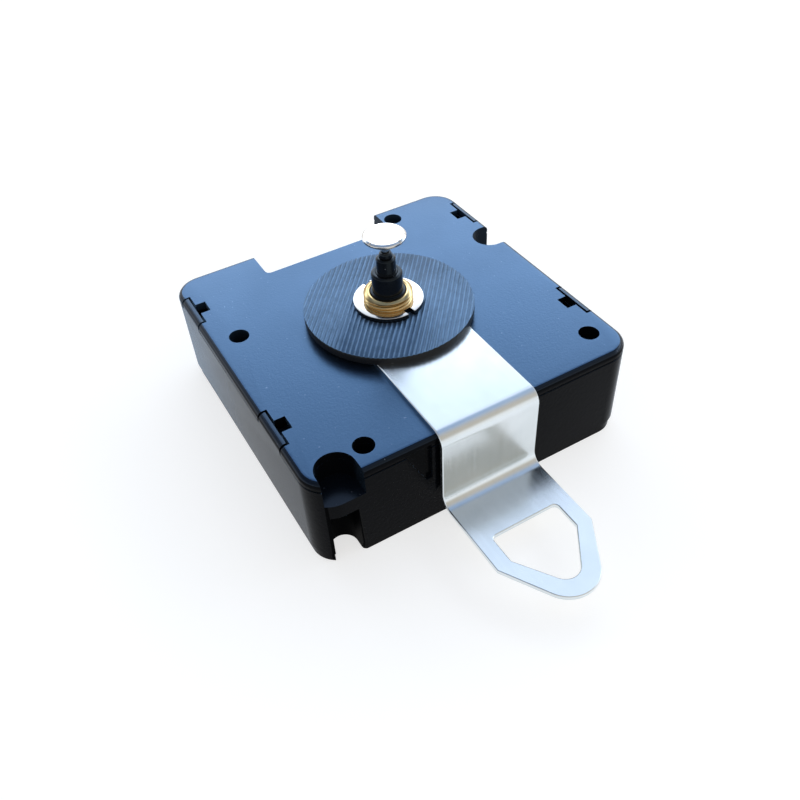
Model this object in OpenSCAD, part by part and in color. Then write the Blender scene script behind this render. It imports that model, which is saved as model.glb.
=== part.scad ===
// Radio-controlled clock movement in a square case, with its hanger and hand shafts.
// The origin is on the rear face, on the axis of the hand shafts.
// Z points out of the dial side, and Y points to twelve o'clock, where the hanger is.

/* [Case] */
// Side length of the square case
case_size = 56; // [55.6:0.1:62]
// Height of the case from its rear face to its front face
case_h = 17.5; // [17.4:0.1:20]
// Radius of the upright corners of the case
corner_r = 4.5; // [3:0.1:5.5]
// Radius of the rounded edge round the front face
edge_r = 1; // [0.4:0.1:1.2]
// Thickness of the front cover
cover_t = 1.4; // [1:0.1:1.5]
// Thickness of the side walls
wall_t = 1.4; // [1:0.1:1.5]
// Thickness of the rear wall
back_t = 1.4; // [1:0.1:1.5]
// Thickness of the walls round the recess and the notches
web_t = 1.2; // [0.8:0.1:1.3]
// Height of the stepped rim at the rear of the case
rim_h = 2; // [1:0.1:3]
// How far the stepped rim stands in from the case sides
rim_in = 0.35; // [0.1:0.05:0.5]
// Height of the groove that runs round the case under the cover
seam_h = 0.3; // [0.1:0.05:0.5]
// Depth of the groove that runs round the case under the cover
seam_d = 0.15; // [0.05:0.05:0.3]
// Distance from the shaft axis to the upright groove beside the hanger
groove_x = 9.3; // [9:0.1:10]
// Width of the upright groove beside the hanger
groove_w = 1; // [0.6:0.1:1.5]
// Depth of the upright groove beside the hanger
groove_d = 0.6; // [0.3:0.05:0.7]
// Length of the upright groove beside the hanger
groove_len = 7; // [5:0.1:9]
// Width of the shallow three-cornered facet beside the groove
facet_w = 3.5; // [2:0.1:5]
// Depth of the shallow three-cornered facet beside the groove
facet_d = 0.25; // [0.1:0.05:0.4]

/* [Cover holes] */
// Radius of the four peg sockets in the front face
peg_r = 1.65; // [1:0.05:1.9]
// Depth of the peg sockets below the front face
peg_depth = 3.9; // [2:0.1:4.2]
// Thickness of the wall round the peg sockets
peg_wall = 0.8; // [0.6:0.05:1]
// Thickness of the web from each peg socket to the case wall
peg_web = 1.2; // [0.8:0.1:1.6]
// Distance of the first socket from the right side
peg_right_in = 4.7; // [4.3:0.1:5.5]
// Height of the first socket above the shaft axis
peg_right_y = -8.1; // [-8.4:0.1:-7.8]
// Distance of the second socket from the top side
peg_top_in = 4.2; // [3.9:0.1:4.6]
// Place of the second socket across the case
peg_top_x = 17.8; // [16:0.1:18]
// Distance of the third socket from the left side
peg_left_in = 4.5; // [4:0.1:5.5]
// Distance of the third socket from the top side
peg_left_drop = 6; // [5:0.1:6.3]
// Distance of the fourth socket from the bottom side
peg_low_in = 3.8; // [3.4:0.1:4]
// Place of the fourth socket across the case
peg_low_x = -14.6; // [-14.7:0.1:-14.2]

/* [Recess and notches] */
// Width of the recess in the bottom side
recess_w = 25.1; // [20:0.1:25.4]
// Depth of the recess in the bottom side
recess_d = 6.65; // [4:0.05:6.9]
// Corner radius of the recess
recess_r = 0.9; // [0.3:0.1:2]
// Radius of the round notch in the left side
side_notch_r = 3; // [2:0.1:3.1]
// Distance of the notch centre from the left side
side_notch_in = 1.7; // [0:0.1:1.8]
// Height of the notch centre above the shaft axis
side_notch_y = -9.3; // [-9.6:0.1:-9]
// Radius of the clip notch beside the top right corner
clip_notch_r = 3.05; // [2:0.05:3.1]
// Distance of the clip notch centre from the right side
clip_notch_x_in = 4.9; // [4.7:0.1:5.2]
// Distance of the clip notch centre from the top side
clip_notch_y_in = 2.5; // [1:0.1:2.6]
// Radius of the clip notch below its ledge
clip_low_r = 2.2; // [1.5:0.1:2.5]
// Depth from the front face to the ledge across the clip notch
ledge_depth = 4.6; // [3:0.1:6]
// Distance between the centres of the clip notch above and below its ledge
clip_low_shift = 0.4; // [0:0.1:0.5]
// Height of the ledge across the clip notch
ledge_h = 2.6; // [1.5:0.1:4]

/* [Latches] */
// Length of the latch slots in the cover
latch_len = 8.1; // [6:0.1:10]
// Depth of the latch slots from the case side
latch_d = 1.6; // [1.5:0.05:2]
// Gap between a latch tab and its slot
latch_gap = 0.4; // [0.2:0.05:0.6]
// Place of the upper pair of latches
latch_top_y = 13.9; // [12:0.1:15]
// Place of the lower pair of latches
latch_low_y = -18.6; // [-20:0.1:-17]
// Width of the release hole behind each latch
release_w = 2.7; // [2:0.1:4]
// Depth of the release hole behind each latch slot
release_d = 1.7; // [1:0.1:1.8]

/* [Battery bay] */
// Diameter of the battery cell
cell_d = 14.5; // [13.9:0.1:14.5]
// Length of the battery cell
cell_len = 50.5; // [49.5:0.1:50.6]
// Radial room round the cell
cell_gap = 0.25; // [0.15:0.05:0.25]
// Room for a contact at each end of the cell
contact_room = 0.75; // [0.7:0.05:0.8]
// Distance of the cell axis from the shaft axis
cell_y = 14.8; // [14.7:0.05:14.85]
// How far the cell lies inside the rear face
cell_sink = 0.35; // [0.2:0.05:0.4]
// Thickness of the bay wall
bay_wall = 0.7; // [0.5:0.05:0.75]
// Thickness of the contact plates
contact_t = 0.3; // [0.2:0.05:0.3]

/* [Hand shafts] */
// Radius of the threaded bush
bush_r = 4; // [3.8:0.05:4.4]
// Radius of the bush below the top of the nut, where the two threads meet
bush_neck_r = 3.8; // [3.5:0.05:3.8]
// Height of the bush above the front face
bush_h = 4.7; // [4.4:0.1:5.2]
// Radius of the shoulder of the hour shaft inside the bush
hour_shoulder_r = 2.85; // [2.7:0.05:3]
// Radius of the hour shaft where the hour hand sits
hour_r = 2.5; // [2.4:0.05:2.6]
// Height of the hour shaft above the bush
hour_seat = 3.5; // [2.5:0.1:5]
// Radius of the minute shaft inside the hour shaft
minute_journal_r = 1.75; // [1.7:0.05:1.8]
// Radius of the minute shaft where the minute hand sits
minute_r = 1.55; // [1.5:0.05:1.55]
// Height of the minute shaft above the hour shaft
minute_seat = 2.7; // [2:0.1:4]
// Radius of the seconds shaft
seconds_r = 1; // [0.95:0.01:1.02]
// Height of the seconds shaft above the minute shaft
seconds_seat = 0.9; // [0.5:0.1:2]
// Chamfer at the end of each hand shaft
shaft_chamfer = 0.25; // [0.1:0.05:0.3]
// Radius of the cap on the seconds shaft
cap_r = 3.4; // [2.5:0.1:4]
// Thickness of the cap
cap_t = 0.8; // [0.6:0.1:1.2]
// Radius of the cap stem
stem_r = 0.6; // [0.5:0.01:0.6]
// Visible length of the cap stem
stem_h = 2.4; // [1:0.1:4]
// Length of the cap stem inside the seconds shaft
stem_in = 2.5; // [1.5:0.1:3]

/* [Hanger] */
// Thickness of the hanger strip
strip_t = 0.8; // [0.6:0.05:1]
// Width of the hanger strip
strip_w = 16.8; // [14:0.1:18]
// Distance from the shaft axis to the inner end of the strip
strip_tail = 9; // [6:0.1:9.5]
// Gap between the case side and the upright part of the strip
strip_gap = 0.6; // [0.4:0.05:1]
// Inner radius of the bend over the case edge
top_bend_r = 1.5; // [1.2:0.05:1.5]
// Inner radius of the bend above the hanging loop
low_bend_r = 2; // [1:0.1:3]
// Height of the underside of the hanging loop above the rear face
loop_z = 3.3; // [1:0.1:6]
// Distance from the case side to the shoulders of the loop
loop_shoulder = 15.3; // [14:0.1:17]
// Distance from the case side to the tip of the loop
loop_tip = 24.7; // [24:0.1:28]
// Radius of the outside of the loop tip
loop_tip_r = 5; // [4:0.1:6]
// Width of the hole in the loop
eye_w = 11.6; // [9:0.1:12]
// Distance from the case side to the straight edge of the hole
eye_near = 10.2; // [8:0.1:12]
// Distance from the case side to the tip of the hole
eye_tip = 21.7; // [20:0.1:22]
// Radius at the tip of the hole
eye_tip_r = 2.4; // [1.5:0.1:3]
// Radius of the corners of the hole
eye_corner_r = 0.8; // [0.4:0.1:1.5]

/* [Washer and nut] */
// Radius of the rubber washer
washer_r = 13.9; // [10:0.1:14.5]
// Thickness of the rubber washer
washer_t = 1.4; // [0.8:0.1:1.6]
// Radius of the round nut
nut_r = 5.7; // [5:0.1:7]
// Thickness of the round nut
nut_t = 0.9; // [0.6:0.1:1.2]
// Width of the two slots in the nut
nut_slot_w = 1.3; // [0.8:0.1:1.6]
// Turn of the nut slots from the X axis
nut_turn = 101; // [0:1:180]

/* [Seconds train] */
// Tooth size of the seconds train
seconds_module = 0.2; // [0.19:0.005:0.2]
// Direction from the seconds idler to its rotor
seconds_rotor_turn = -30; // [-32:1:-28]

/* [Minute train] */
// Tooth size of the first stage of the minute train
minute_motor_module = 0.18; // [0.175:0.005:0.18]
// Tooth size of the second stage of the minute train
minute_module = 0.19; // [0.185:0.005:0.19]
// Direction from the minute idler to its rotor
minute_rotor_turn = 210; // [208:1:212]

/* [Motion work] */
// Tooth size between the cannon pinion and the motion wheel
motion_module = 0.25; // [0.24:0.005:0.25]
// Thickness of the wheels
wheel_t = 0.5; // [0.4:0.05:0.6]

/* [Motors] */
// Radius of the rotor magnets
magnet_r = 1.5; // [1.2:0.1:1.6]
// Air gap between a magnet and its stator
air_gap = 0.35; // [0.25:0.05:0.5]
// Thickness of the stator plates
stator_t = 0.8; // [0.6:0.1:0.9]
// Width of the stator arms
stator_arm = 1.4; // [1.2:0.1:1.6]
// Distance of the coils from the shaft axis
coil_x = 19.8; // [19.6:0.1:20.4]
// Radius of the motor windings
coil_r = 2.4; // [2:0.1:2.4]
// Length of the motor bobbins
coil_len = 9.6; // [8:0.1:9.8]
// Thickness of the bobbin flanges
flange_t = 0.6; // [0.4:0.1:0.8]

/* [Circuit board and antenna] */
// Thickness of the circuit board
board_t = 0.8; // [0.6:0.1:1]
// Height of the standoffs under the circuit board
board_lift = 1.5; // [1.5:0.05:1.8]
// Radius of the ferrite rod
rod_r = 2.5; // [2:0.1:2.6]
// Length of the ferrite rod
rod_len = 42; // [36:0.5:43]
// Distance from the bottom side of the case to the ferrite rod
rod_up = 12.2; // [12:0.1:12.3]
// Thickness of the antenna winding
antenna_wind_t = 0.7; // [0.4:0.1:0.7]
// Length of the antenna winding
antenna_wind_len = 26; // [20:0.5:30]

/* [Push buttons] */
// Radius of the push buttons
button_r = 1.7; // [1.2:0.1:2.2]
// How far the push buttons lie inside the rear face
button_sink = 0.35; // [0.2:0.05:0.5]
// Travel of the push buttons
button_travel = 0.3; // [0.2:0.05:0.3]
// Distance from the right side of the case to the push buttons
button_in = 10.4; // [9:0.1:11]
// Distance from the bottom side of the case to the upper push button
button_up = 12.5; // [12:0.1:13]
// Distance between the push buttons
button_pitch = 7; // [6.5:0.1:7.5]

/* [Fits] */
// Radial clearance of turning shafts
run_gap = 0.05; // [0.03:0.005:0.08]
// Radial clearance of parts pressed or screwed together
press_gap = 0.02; // [0.01:0.005:0.04]
// Clearance between neighbouring parts
part_gap = 0.1; // [0.05:0.01:0.15]

/* [Hidden] */
$fn = 64;
eps = 0.01;
// Tooth counts, which set the ratios between the hands and the two rotors
rotor_teeth = 8;
seconds_idler_teeth = 48;
seconds_pinion_teeth = 10;
seconds_teeth = 50;
minute_idler_teeth = 60;
minute_pinion_teeth = 8;
minute_teeth = 64;
cannon_teeth = 16;
motion_teeth = 48;
motion_pinion_teeth = 10;
hour_teeth = 40;
half = case_size / 2;
parting_z = case_h - cover_t;
strip_z = case_h;
washer_z = strip_z + strip_t;
nut_z = washer_z + washer_t;
bush_top = case_h + bush_h;
hour_top = bush_top + hour_seat;
minute_top = hour_top + minute_seat;
seconds_top = minute_top + seconds_seat;
cap_z = seconds_top + stem_h;
shoulder_bore_r = hour_shoulder_r + 0.07;
hour_bore_r = minute_journal_r + run_gap;
minute_bore_r = seconds_r + run_gap;
stem_bore_r = stem_r + run_gap;
bay_r = cell_d / 2 + cell_gap;
bay_z = cell_sink + cell_d / 2;
bay_half = cell_len / 2 + contact_room;
board_z = back_t + board_lift;
rod_drop = half - rod_up;
board_top = board_z + board_t;
pegs = [
    [half - peg_right_in, peg_right_y],
    [peg_top_x, half - peg_top_in],
    [peg_left_in - half, half - peg_left_drop],
    [peg_low_x, peg_low_in - half]];
// Direction from each peg socket to the nearest side of the case
peg_webs = [0, 90, 180, 270];
latches = [for (side = [-1, 1], y = [latch_top_y, latch_low_y]) [side, y]];
board_edge_gap = 0.7;
board_low = recess_d + web_t + board_edge_gap - half;
board_high = -11.5;
// Lobes of the board on both sides of the recess
lobe_x = half - 7.8;
lobe_w = 11.4;
lobe_drop = 2.2;
lobe_h = 10;
chip_at = [half - 7.8, 6.8 - half];
chip_r = 2.2;
chip_top_r = 1.3;
chip_t = 0.9;
crystal_at = [4.4 - half, 7 - half];
crystal_r = 1;
crystal_len = 4.4;
lead_r = 0.15;
lead_len = 0.8;
tall_capacitor_at = [10.1 - half, 6.8 - half];
tall_capacitor_r = 1.2;
tall_capacitor_h = 2.4;
capacitor_at = [half - 3.6, 13 - half];
capacitor_pitch = 2.2;
capacitor_size = [1, 1.6, 0.8];
saddle_x = 16.2;
saddle_w = 2.4;
saddle_wall = 0.7;
rod_z = board_top + rod_r + antenna_wind_t + 4 * part_gap;
button_x = half - button_in;
button_top_y = button_up - half;
button_low_y = button_top_y - button_pitch;
button_flange_t = 0.4;
button_flange_r = button_r + 0.6;
dome_h = board_lift - part_gap - button_flange_t - button_travel - 2 * part_gap;
board_posts = [[half - 5.7, 3.8 - half], [7.8 - half, 3.8 - half]];
seconds_drive = seconds_module * (rotor_teeth + seconds_idler_teeth) / 2;
seconds_idler_x = seconds_module * (seconds_pinion_teeth + seconds_teeth) / 2;
seconds_idler_at = [seconds_idler_x, 0];
seconds_rotor_at = seconds_idler_at
    + seconds_drive * [cos(seconds_rotor_turn), sin(seconds_rotor_turn)];
minute_drive = minute_motor_module * (rotor_teeth + minute_idler_teeth) / 2;
minute_idler_x = minute_module * (minute_pinion_teeth + minute_teeth) / 2;
minute_idler_at = [-minute_idler_x, 0];
minute_rotor_at = minute_idler_at
    + minute_drive * [cos(minute_rotor_turn), sin(minute_rotor_turn)];
motion_drop = motion_module * (cannon_teeth + motion_teeth) / 2;
motion_at = [0, -motion_drop];
hour_module = 2 * motion_drop / (motion_pinion_teeth + hour_teeth);
seconds_wheel_z = back_t + 2.9;
seconds_idler_z = seconds_wheel_z + 1.5;
seconds_bridge_z = seconds_idler_z + 1.2;
bridge_t = 0.8;
plate_w = 35;
plate_d = 17.6;
plate_y = -3.1;
plate_r = 2;
bridge_arm_w = 2.8;
bridge_branch_w = 2.4;
core_y = coil_len / 2 + stator_arm / 2;
bobbin_hub_r = 1.5;
magnet_over = 0.7;
stator_notch_r = 0.25;
coil_rim_r = coil_r + 0.15;
seconds_stator_z = back_t + part_gap + coil_rim_r + stator_t / 2;
minute_idler_z = seconds_idler_z + 1.2;
minute_stator_z = minute_idler_z - 1.9;
minute_wheel_z = minute_idler_z + 1.7;
plate_z = minute_wheel_z + 1.3;
plate_top = plate_z + bridge_t;
motion_z = plate_top + 0.7;
hour_z = motion_z + wheel_t + 0.5;
bush_flange_t = 0.9;
bush_flange_z = parting_z - bush_flange_t;
bush_flange_r = 6.4;
cap_low_chamfer = 0.3;
cap_top_chamfer = 0.35;
cap_top_bevel_h = 0.2;
cap_low_bevel_h = 0.25;
contact_w = 9;
contact_drop = 0.5;
positive_stud_r = 2;
positive_stud_h = 0.3;
negative_bow_r = 9;
negative_rise = 0.8;
negative_w = 4;
pivot_r = 0.3;
arbor_r = 0.4;
arbor_foot_r = 0.6;
screw_r = 0.55;
screw_head_r = 1.2;
screw_head_h = 0.7;
post_r = 1.2;
plate_posts = [[15.3, 0.8], [-15.92, 0.8], [12.5, -9.6], [-12.5, -9.6]];
bridge_posts = [[8, -7.8], [10.2, 5]];

// Square with rounded corners, centred on the axis
module rounded_square(w, d, r) {
    square([w - 2 * r, d], center = true);
    square([w, d - 2 * r], center = true);
    for (sx = [-1, 1], sy = [-1, 1])
        translate([sx * (w / 2 - r), sy * (d / 2 - r)]) circle(r);
}

// Upright section through a block whose top edges are rounded
module edge_section(w, h, e) {
    translate([-w / 2, 0]) square([w, h - e]);
    translate([e - w / 2, 0]) square([w - 2 * e, h]);
    for (s = [-1, 1]) translate([s * (w / 2 - e), h - e]) circle(e);
}

// Square block with rounded upright corners and a rounded top edge
module soft_block(w, h, r, e) {
    rotate([90, 0, 90]) linear_extrude(w - 2 * r, center = true) edge_section(w, h, e);
    rotate([90, 0, 0]) linear_extrude(w - 2 * r, center = true) edge_section(w, h, e);
    for (sx = [-1, 1], sy = [-1, 1])
        translate([sx * (w / 2 - r), sy * (w / 2 - r), 0]) rotate_extrude()
            intersection() {
                edge_section(2 * r, h, e);
                square([r, h]);
            }
}

// Flat strip from one point to another with round ends
module bar_2d(from, to, w) {
    run = to - from;
    translate(from) circle(w / 2);
    translate(to) circle(w / 2);
    translate(from) rotate(atan2(run[1], run[0])) translate([0, -w / 2]) square([norm(run), w]);
}

// Outline of a toothed wheel, with a tooth centred on the direction turn
module gear_2d(teeth, size, turn) {
    pitch = 360 / teeth;
    pitch_r = teeth * size / 2;
    root_r = pitch_r - 1.05 * size;
    tip_r = pitch_r + 0.75 * size;
    root_half = 0.235 * pitch;
    tip_half = 0.085 * pitch;
    polygon([for (i = [0 : teeth - 1], k = [[-1, 0], [-1, 1], [1, 1], [1, 0]])
        let (a = turn + i * pitch + k[0] * (k[1] == 1 ? tip_half : root_half))
        (k[1] == 1 ? tip_r : root_r) * [cos(a), sin(a)]]);
}

// Turn that puts the mate's gap on the tooth of a gear, along the direction to the mate
function mesh_turn(teeth, turn, mate_teeth, to_mate) =
    to_mate + 180 - (0.5 - (to_mate - turn) * teeth / 360) * 360 / mate_teeth;

seconds_idler_turn = mesh_turn(seconds_teeth, 0, seconds_pinion_teeth, 0);
seconds_rotor_mesh = mesh_turn(seconds_idler_teeth, 0, rotor_teeth, seconds_rotor_turn);
minute_idler_turn = mesh_turn(minute_teeth, 0, minute_pinion_teeth, 180);
minute_rotor_mesh = mesh_turn(minute_idler_teeth, 0, rotor_teeth, minute_rotor_turn);
motion_turn = mesh_turn(cannon_teeth, 0, motion_teeth, -90);
hour_turn = mesh_turn(motion_pinion_teeth, 0, hour_teeth, 90);

// Outline of the recess in the bottom side
module recess_2d(grow) {
    w = recess_w + 2 * grow;
    d = recess_d + grow;
    r = recess_r;
    translate([0, d / 2 - half - r]) rounded_square(w, d + 2 * r, r);
}

// Outline of a notch that is open to one side, drawn open downwards
module notch_2d(r) {
    circle(r);
    translate([-r, -case_size]) square([2 * r, case_size]);
}

module side_notch_2d(grow) {
    translate([side_notch_in - half, side_notch_y]) rotate(-90) notch_2d(side_notch_r + grow);
}

module clip_notch_2d(grow) {
    translate([half - clip_notch_x_in, half - clip_notch_y_in]) rotate(180)
        notch_2d(clip_notch_r + grow);
}

module clip_low_2d(grow) {
    translate([half - clip_notch_x_in + clip_low_shift, half - clip_notch_y_in]) rotate(180)
        notch_2d(clip_low_r + grow);
}

// Space that holds the battery cell, open to the rear
module bay_space(grow) {
    long = 2 * (bay_half + grow);
    translate([0, cell_y, bay_z]) rotate([0, 90, 0]) cylinder(r = bay_r + grow, h = long, center = true);
    translate([-bay_half - grow, cell_y - bay_r - grow, grow > 0 ? 0 : -1])
        cube([long, 2 * (bay_r + grow), bay_z + (grow > 0 ? 0 : 1)]);
}

module at(place) {
    translate([place[0], place[1], 0]) children();
}

// Hollow post that stands on the rear wall and takes a screw
module post(place, top) {
    at(place) translate([0, 0, back_t - eps]) cylinder(r = post_r, h = top - back_t + eps);
}

// Boss on the rear wall with the lower bearing of a turning part
module bearing_boss(place, r, top) {
    at(place) translate([0, 0, back_t - eps]) cylinder(r = r, h = top - back_t + eps);
}

// Upright groove and shallow facet in the top side, beside the hanger
module hanger_groove() {
    top = case_h - edge_r;
    translate([groove_x, half - groove_d, top - groove_len]) cube([groove_w, groove_d + 1, groove_len]);
    translate([groove_x + groove_w - eps, half + 1, top]) rotate([90, 0, 0]) linear_extrude(facet_d + 1)
        polygon([[0, 0], [0, -groove_len], [facet_w, 0]]);
}

// Notches and recess that run through both halves of the case
module side_cuts() {
    hanger_groove();
    translate([0, 0, -1]) linear_extrude(case_h + 2) {
        recess_2d(0);
        side_notch_2d(0);
    }
    translate([0, 0, case_h - ledge_depth]) linear_extrude(case_h) clip_notch_2d(0);
    translate([0, 0, -1]) linear_extrude(case_h - ledge_depth - ledge_h + 1) clip_low_2d(0);
}

module housing_walls() {
    translate([0, 0, rim_h]) linear_extrude(parting_z - seam_h - rim_h)
        rounded_square(case_size, case_size, corner_r);
    translate([0, 0, rim_h]) linear_extrude(parting_z - rim_h)
        rounded_square(case_size - 2 * seam_d, case_size - 2 * seam_d, corner_r - seam_d);
    linear_extrude(rim_h + eps)
        rounded_square(case_size - 2 * rim_in, case_size - 2 * rim_in, corner_r - rim_in);
}

// Standing parts inside the housing, cut to the inner outline
module housing_ribs() {
    intersection() {
        union() {
            bay_space(bay_wall);
            linear_extrude(parting_z) {
                recess_2d(web_t);
                side_notch_2d(web_t);
                clip_notch_2d(web_t);
            }
            for (i = [0 : 3]) at(pegs[i]) {
                cylinder(r = peg_r + peg_wall, h = parting_z);
                rotate(peg_webs[i]) translate([0, -peg_web / 2, 0])
                    cube([corner_r + 3, peg_web, parting_z]);
            }
        }
        linear_extrude(parting_z)
            rounded_square(case_size - wall_t, case_size - wall_t, corner_r - wall_t / 2);
    }
}

module latch_tabs() {
    for (p = latches) intersection() {
        soft_block(case_size, case_h, corner_r, edge_r);
        translate([p[0] * (half - (latch_d - latch_gap) / 2), p[1], case_h - 2])
            cube([latch_d - latch_gap, latch_len - 2 * latch_gap, 4 + 2 * eps], center = true);
    }
}

module rear_housing() {
    color("#1b2028") difference() {
        union() {
            difference() {
                housing_walls();
                translate([0, 0, back_t]) linear_extrude(case_h)
                    rounded_square(case_size - 2 * wall_t, case_size - 2 * wall_t, corner_r - wall_t);
            }
            housing_ribs();
            latch_tabs();
            for (p = plate_posts) post(p, plate_z);
            for (p = bridge_posts) post(p, seconds_bridge_z);
            for (p = board_posts) post(p, board_z);
            bearing_boss([0, 0], 1.4, seconds_wheel_z - 0.8);
            bearing_boss(seconds_idler_at, 1, seconds_wheel_z - 0.8);
            bearing_boss(seconds_rotor_at, 1, seconds_stator_z - 1.2);
            bearing_boss(minute_idler_at, 1, minute_idler_z - 0.8);
            bearing_boss(minute_rotor_at, 1, minute_stator_z - 1.2);
            for (s = [-1, 1]) {
                bearing_boss([coil_x, s * core_y], 0.7, seconds_stator_z - stator_t);
                bearing_boss([-coil_x, s * core_y], 0.7, minute_stator_z - stator_t);
            }
        }
        bay_space(0);
        side_cuts();
        for (p = pegs) at(p) translate([0, 0, case_h - peg_depth]) cylinder(r = peg_r, h = case_h);
        for (p = plate_posts) at(p) translate([0, 0, plate_z - 4]) cylinder(r = screw_r + press_gap, h = 5);
        for (p = bridge_posts) at(p) translate([0, 0, seconds_bridge_z - 3])
            cylinder(r = screw_r + press_gap, h = 4);
        for (p = board_posts) at(p) translate([0, 0, 0.8]) cylinder(r = screw_r + press_gap, h = 4);
        at([0, 0]) translate([0, 0, back_t - 0.2]) cylinder(r = arbor_foot_r + run_gap, h = 3);
        at(seconds_idler_at) translate([0, 0, back_t - 0.2]) cylinder(r = arbor_r + run_gap, h = 3);
        at(seconds_rotor_at) translate([0, 0, back_t - 0.2]) cylinder(r = pivot_r + run_gap, h = 3);
        at(minute_idler_at) translate([0, 0, back_t]) cylinder(r = arbor_r + run_gap, h = 8);
        at(minute_rotor_at) translate([0, 0, back_t]) cylinder(r = pivot_r + run_gap, h = 8);
        for (y = [button_top_y, button_low_y])
            translate([button_x, y, -1]) cylinder(r = button_r + run_gap, h = back_t + 2);
    }
}

module front_cover() {
    color("#1b2028") difference() {
        soft_block(case_size, case_h, corner_r, edge_r);
        translate([-case_size, -case_size, -1]) cube([2 * case_size, 2 * case_size, parting_z + 1]);
        side_cuts();
        translate([0, 0, parting_z - 1]) cylinder(r = bush_neck_r + press_gap, h = case_h);
        for (p = pegs) at(p) translate([0, 0, parting_z - 1]) cylinder(r = peg_r, h = case_h);
        for (p = latches) {
            translate([p[0] * (half - latch_d / 2 + 1), p[1], case_h])
                cube([latch_d + 2, latch_len, 3 * cover_t], center = true);
            translate([p[0] * (half - latch_d - release_d / 2 + eps), p[1], case_h])
                cube([release_d + 2 * eps, release_w, 3 * cover_t], center = true);
        }
    }
}

module middle_plate() {
    color("#d8d8cf") difference() {
        translate([0, 0, plate_z]) linear_extrude(bridge_t) {
            translate([0, plate_y]) rounded_square(plate_w, plate_d, plate_r);
        }
        translate([0, 0, plate_z - 1]) cylinder(r = hour_bore_r, h = 3);
        for (p = plate_posts) at(p) translate([0, 0, plate_z - 1]) cylinder(r = screw_r + run_gap, h = 3);
        at(minute_idler_at) translate([0, 0, plate_z - 1]) cylinder(r = arbor_r + run_gap, h = 3);
        at(minute_rotor_at) translate([0, 0, plate_z - 1]) cylinder(r = pivot_r + run_gap, h = 3);
        at(motion_at) translate([0, 0, plate_z - 1]) cylinder(r = arbor_r + press_gap, h = 3);
    }
}

module seconds_bridge() {
    color("#d8d8cf") difference() {
        translate([0, 0, seconds_bridge_z]) linear_extrude(bridge_t) {
            bar_2d(bridge_posts[0], seconds_rotor_at, bridge_arm_w);
            bar_2d(seconds_rotor_at, bridge_posts[1], bridge_arm_w);
            bar_2d(seconds_rotor_at, seconds_idler_at, bridge_branch_w);
        }
        for (p = bridge_posts) at(p) translate([0, 0, seconds_bridge_z - 1])
            cylinder(r = screw_r + run_gap, h = 3);
        at(seconds_idler_at) translate([0, 0, seconds_bridge_z - 1]) cylinder(r = arbor_r + run_gap, h = 3);
        at(seconds_rotor_at) translate([0, 0, seconds_bridge_z - 1]) cylinder(r = pivot_r + run_gap, h = 3);
    }
}

module screw(place, seat, long) {
    at(place) translate([0, 0, seat]) {
        difference() {
            cylinder(r = screw_head_r, h = screw_head_h);
            translate([0, 0, screw_head_h]) cube([3, 0.3, 0.6], center = true);
            translate([0, 0, screw_head_h]) cube([0.3, 3, 0.6], center = true);
        }
        translate([0, 0, -long]) cylinder(r = screw_r, h = long + eps);
    }
}

module plate_screws() {
    color("silver") {
        for (p = plate_posts) screw(p, plate_top, 4);
        for (p = bridge_posts) screw(p, seconds_bridge_z + bridge_t, 3);
    }
}

module board_screws() {
    color("silver") for (p = board_posts) screw(p, board_top, 2.4);
}

module board_2d() {
    difference() {
        union() {
            translate([-half + wall_t + board_edge_gap, board_low])
                square([case_size - 2 * (wall_t + board_edge_gap), board_high - board_low]);
            for (s = [-1, 1]) translate([s * lobe_x - lobe_w / 2, lobe_drop - half])
                square([lobe_w, lobe_h]);
        }
        side_notch_2d(web_t + 0.3);
        for (p = pegs) translate(p) circle(peg_r + peg_wall + 0.3);
        recess_2d(web_t + 0.3);
    }
}

module circuit_board() {
    color("#1f5f3a") difference() {
        translate([0, 0, board_z]) linear_extrude(board_t) intersection() {
            board_2d();
            rounded_square(case_size - 3.6, case_size - 3.6, corner_r);
        }
        for (p = board_posts) at(p) translate([0, 0, board_z - 1]) cylinder(r = screw_r + run_gap, h = 3);
    }
}

module timing_chip() {
    color("#15151a") translate([chip_at[0], chip_at[1], board_top]) {
        cylinder(r = chip_r, h = chip_t / 2);
        translate([0, 0, chip_t / 2 - eps]) cylinder(r1 = chip_r, r2 = chip_top_r, h = chip_t / 2 + eps);
    }
}

module quartz_crystal() {
    color("silver") translate([crystal_at[0], crystal_at[1], board_top + crystal_r]) rotate([90, 0, 0]) {
        cylinder(r = crystal_r, h = crystal_len, center = true);
        for (s = [-1, 1]) translate([s * 0.4 * crystal_r, 0, -crystal_len / 2 - lead_len])
            cylinder(r = lead_r, h = 2 * lead_len);
    }
}

module capacitors() {
    color("#b58a55") {
        for (i = [0 : 2])
            at(capacitor_at) translate([0, -capacitor_pitch * i, board_top + capacitor_size[2] / 2])
                cube(capacitor_size, center = true);
        at(tall_capacitor_at) translate([0, 0, board_top])
            cylinder(r = tall_capacitor_r, h = tall_capacitor_h);
    }
}

module tact_domes() {
    color("silver") for (y = [button_top_y, button_low_y])
        translate([button_x, y, board_z - dome_h]) cylinder(r = button_r, h = dome_h);
}

module push_button(y) {
    translate([button_x, y, button_sink]) cylinder(r = button_r, h = back_t - button_sink + part_gap + eps);
    translate([button_x, y, back_t + part_gap]) cylinder(r = button_flange_r, h = button_flange_t);
}

module reset_button() {
    color("#c9ccd0") push_button(button_low_y);
}

module receive_button() {
    color("#c9ccd0") push_button(button_top_y);
}

module ferrite_rod() {
    color("#3a3a3d") translate([0, -rod_drop, rod_z]) rotate([0, 90, 0])
        cylinder(r = rod_r, h = rod_len, center = true);
}

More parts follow.
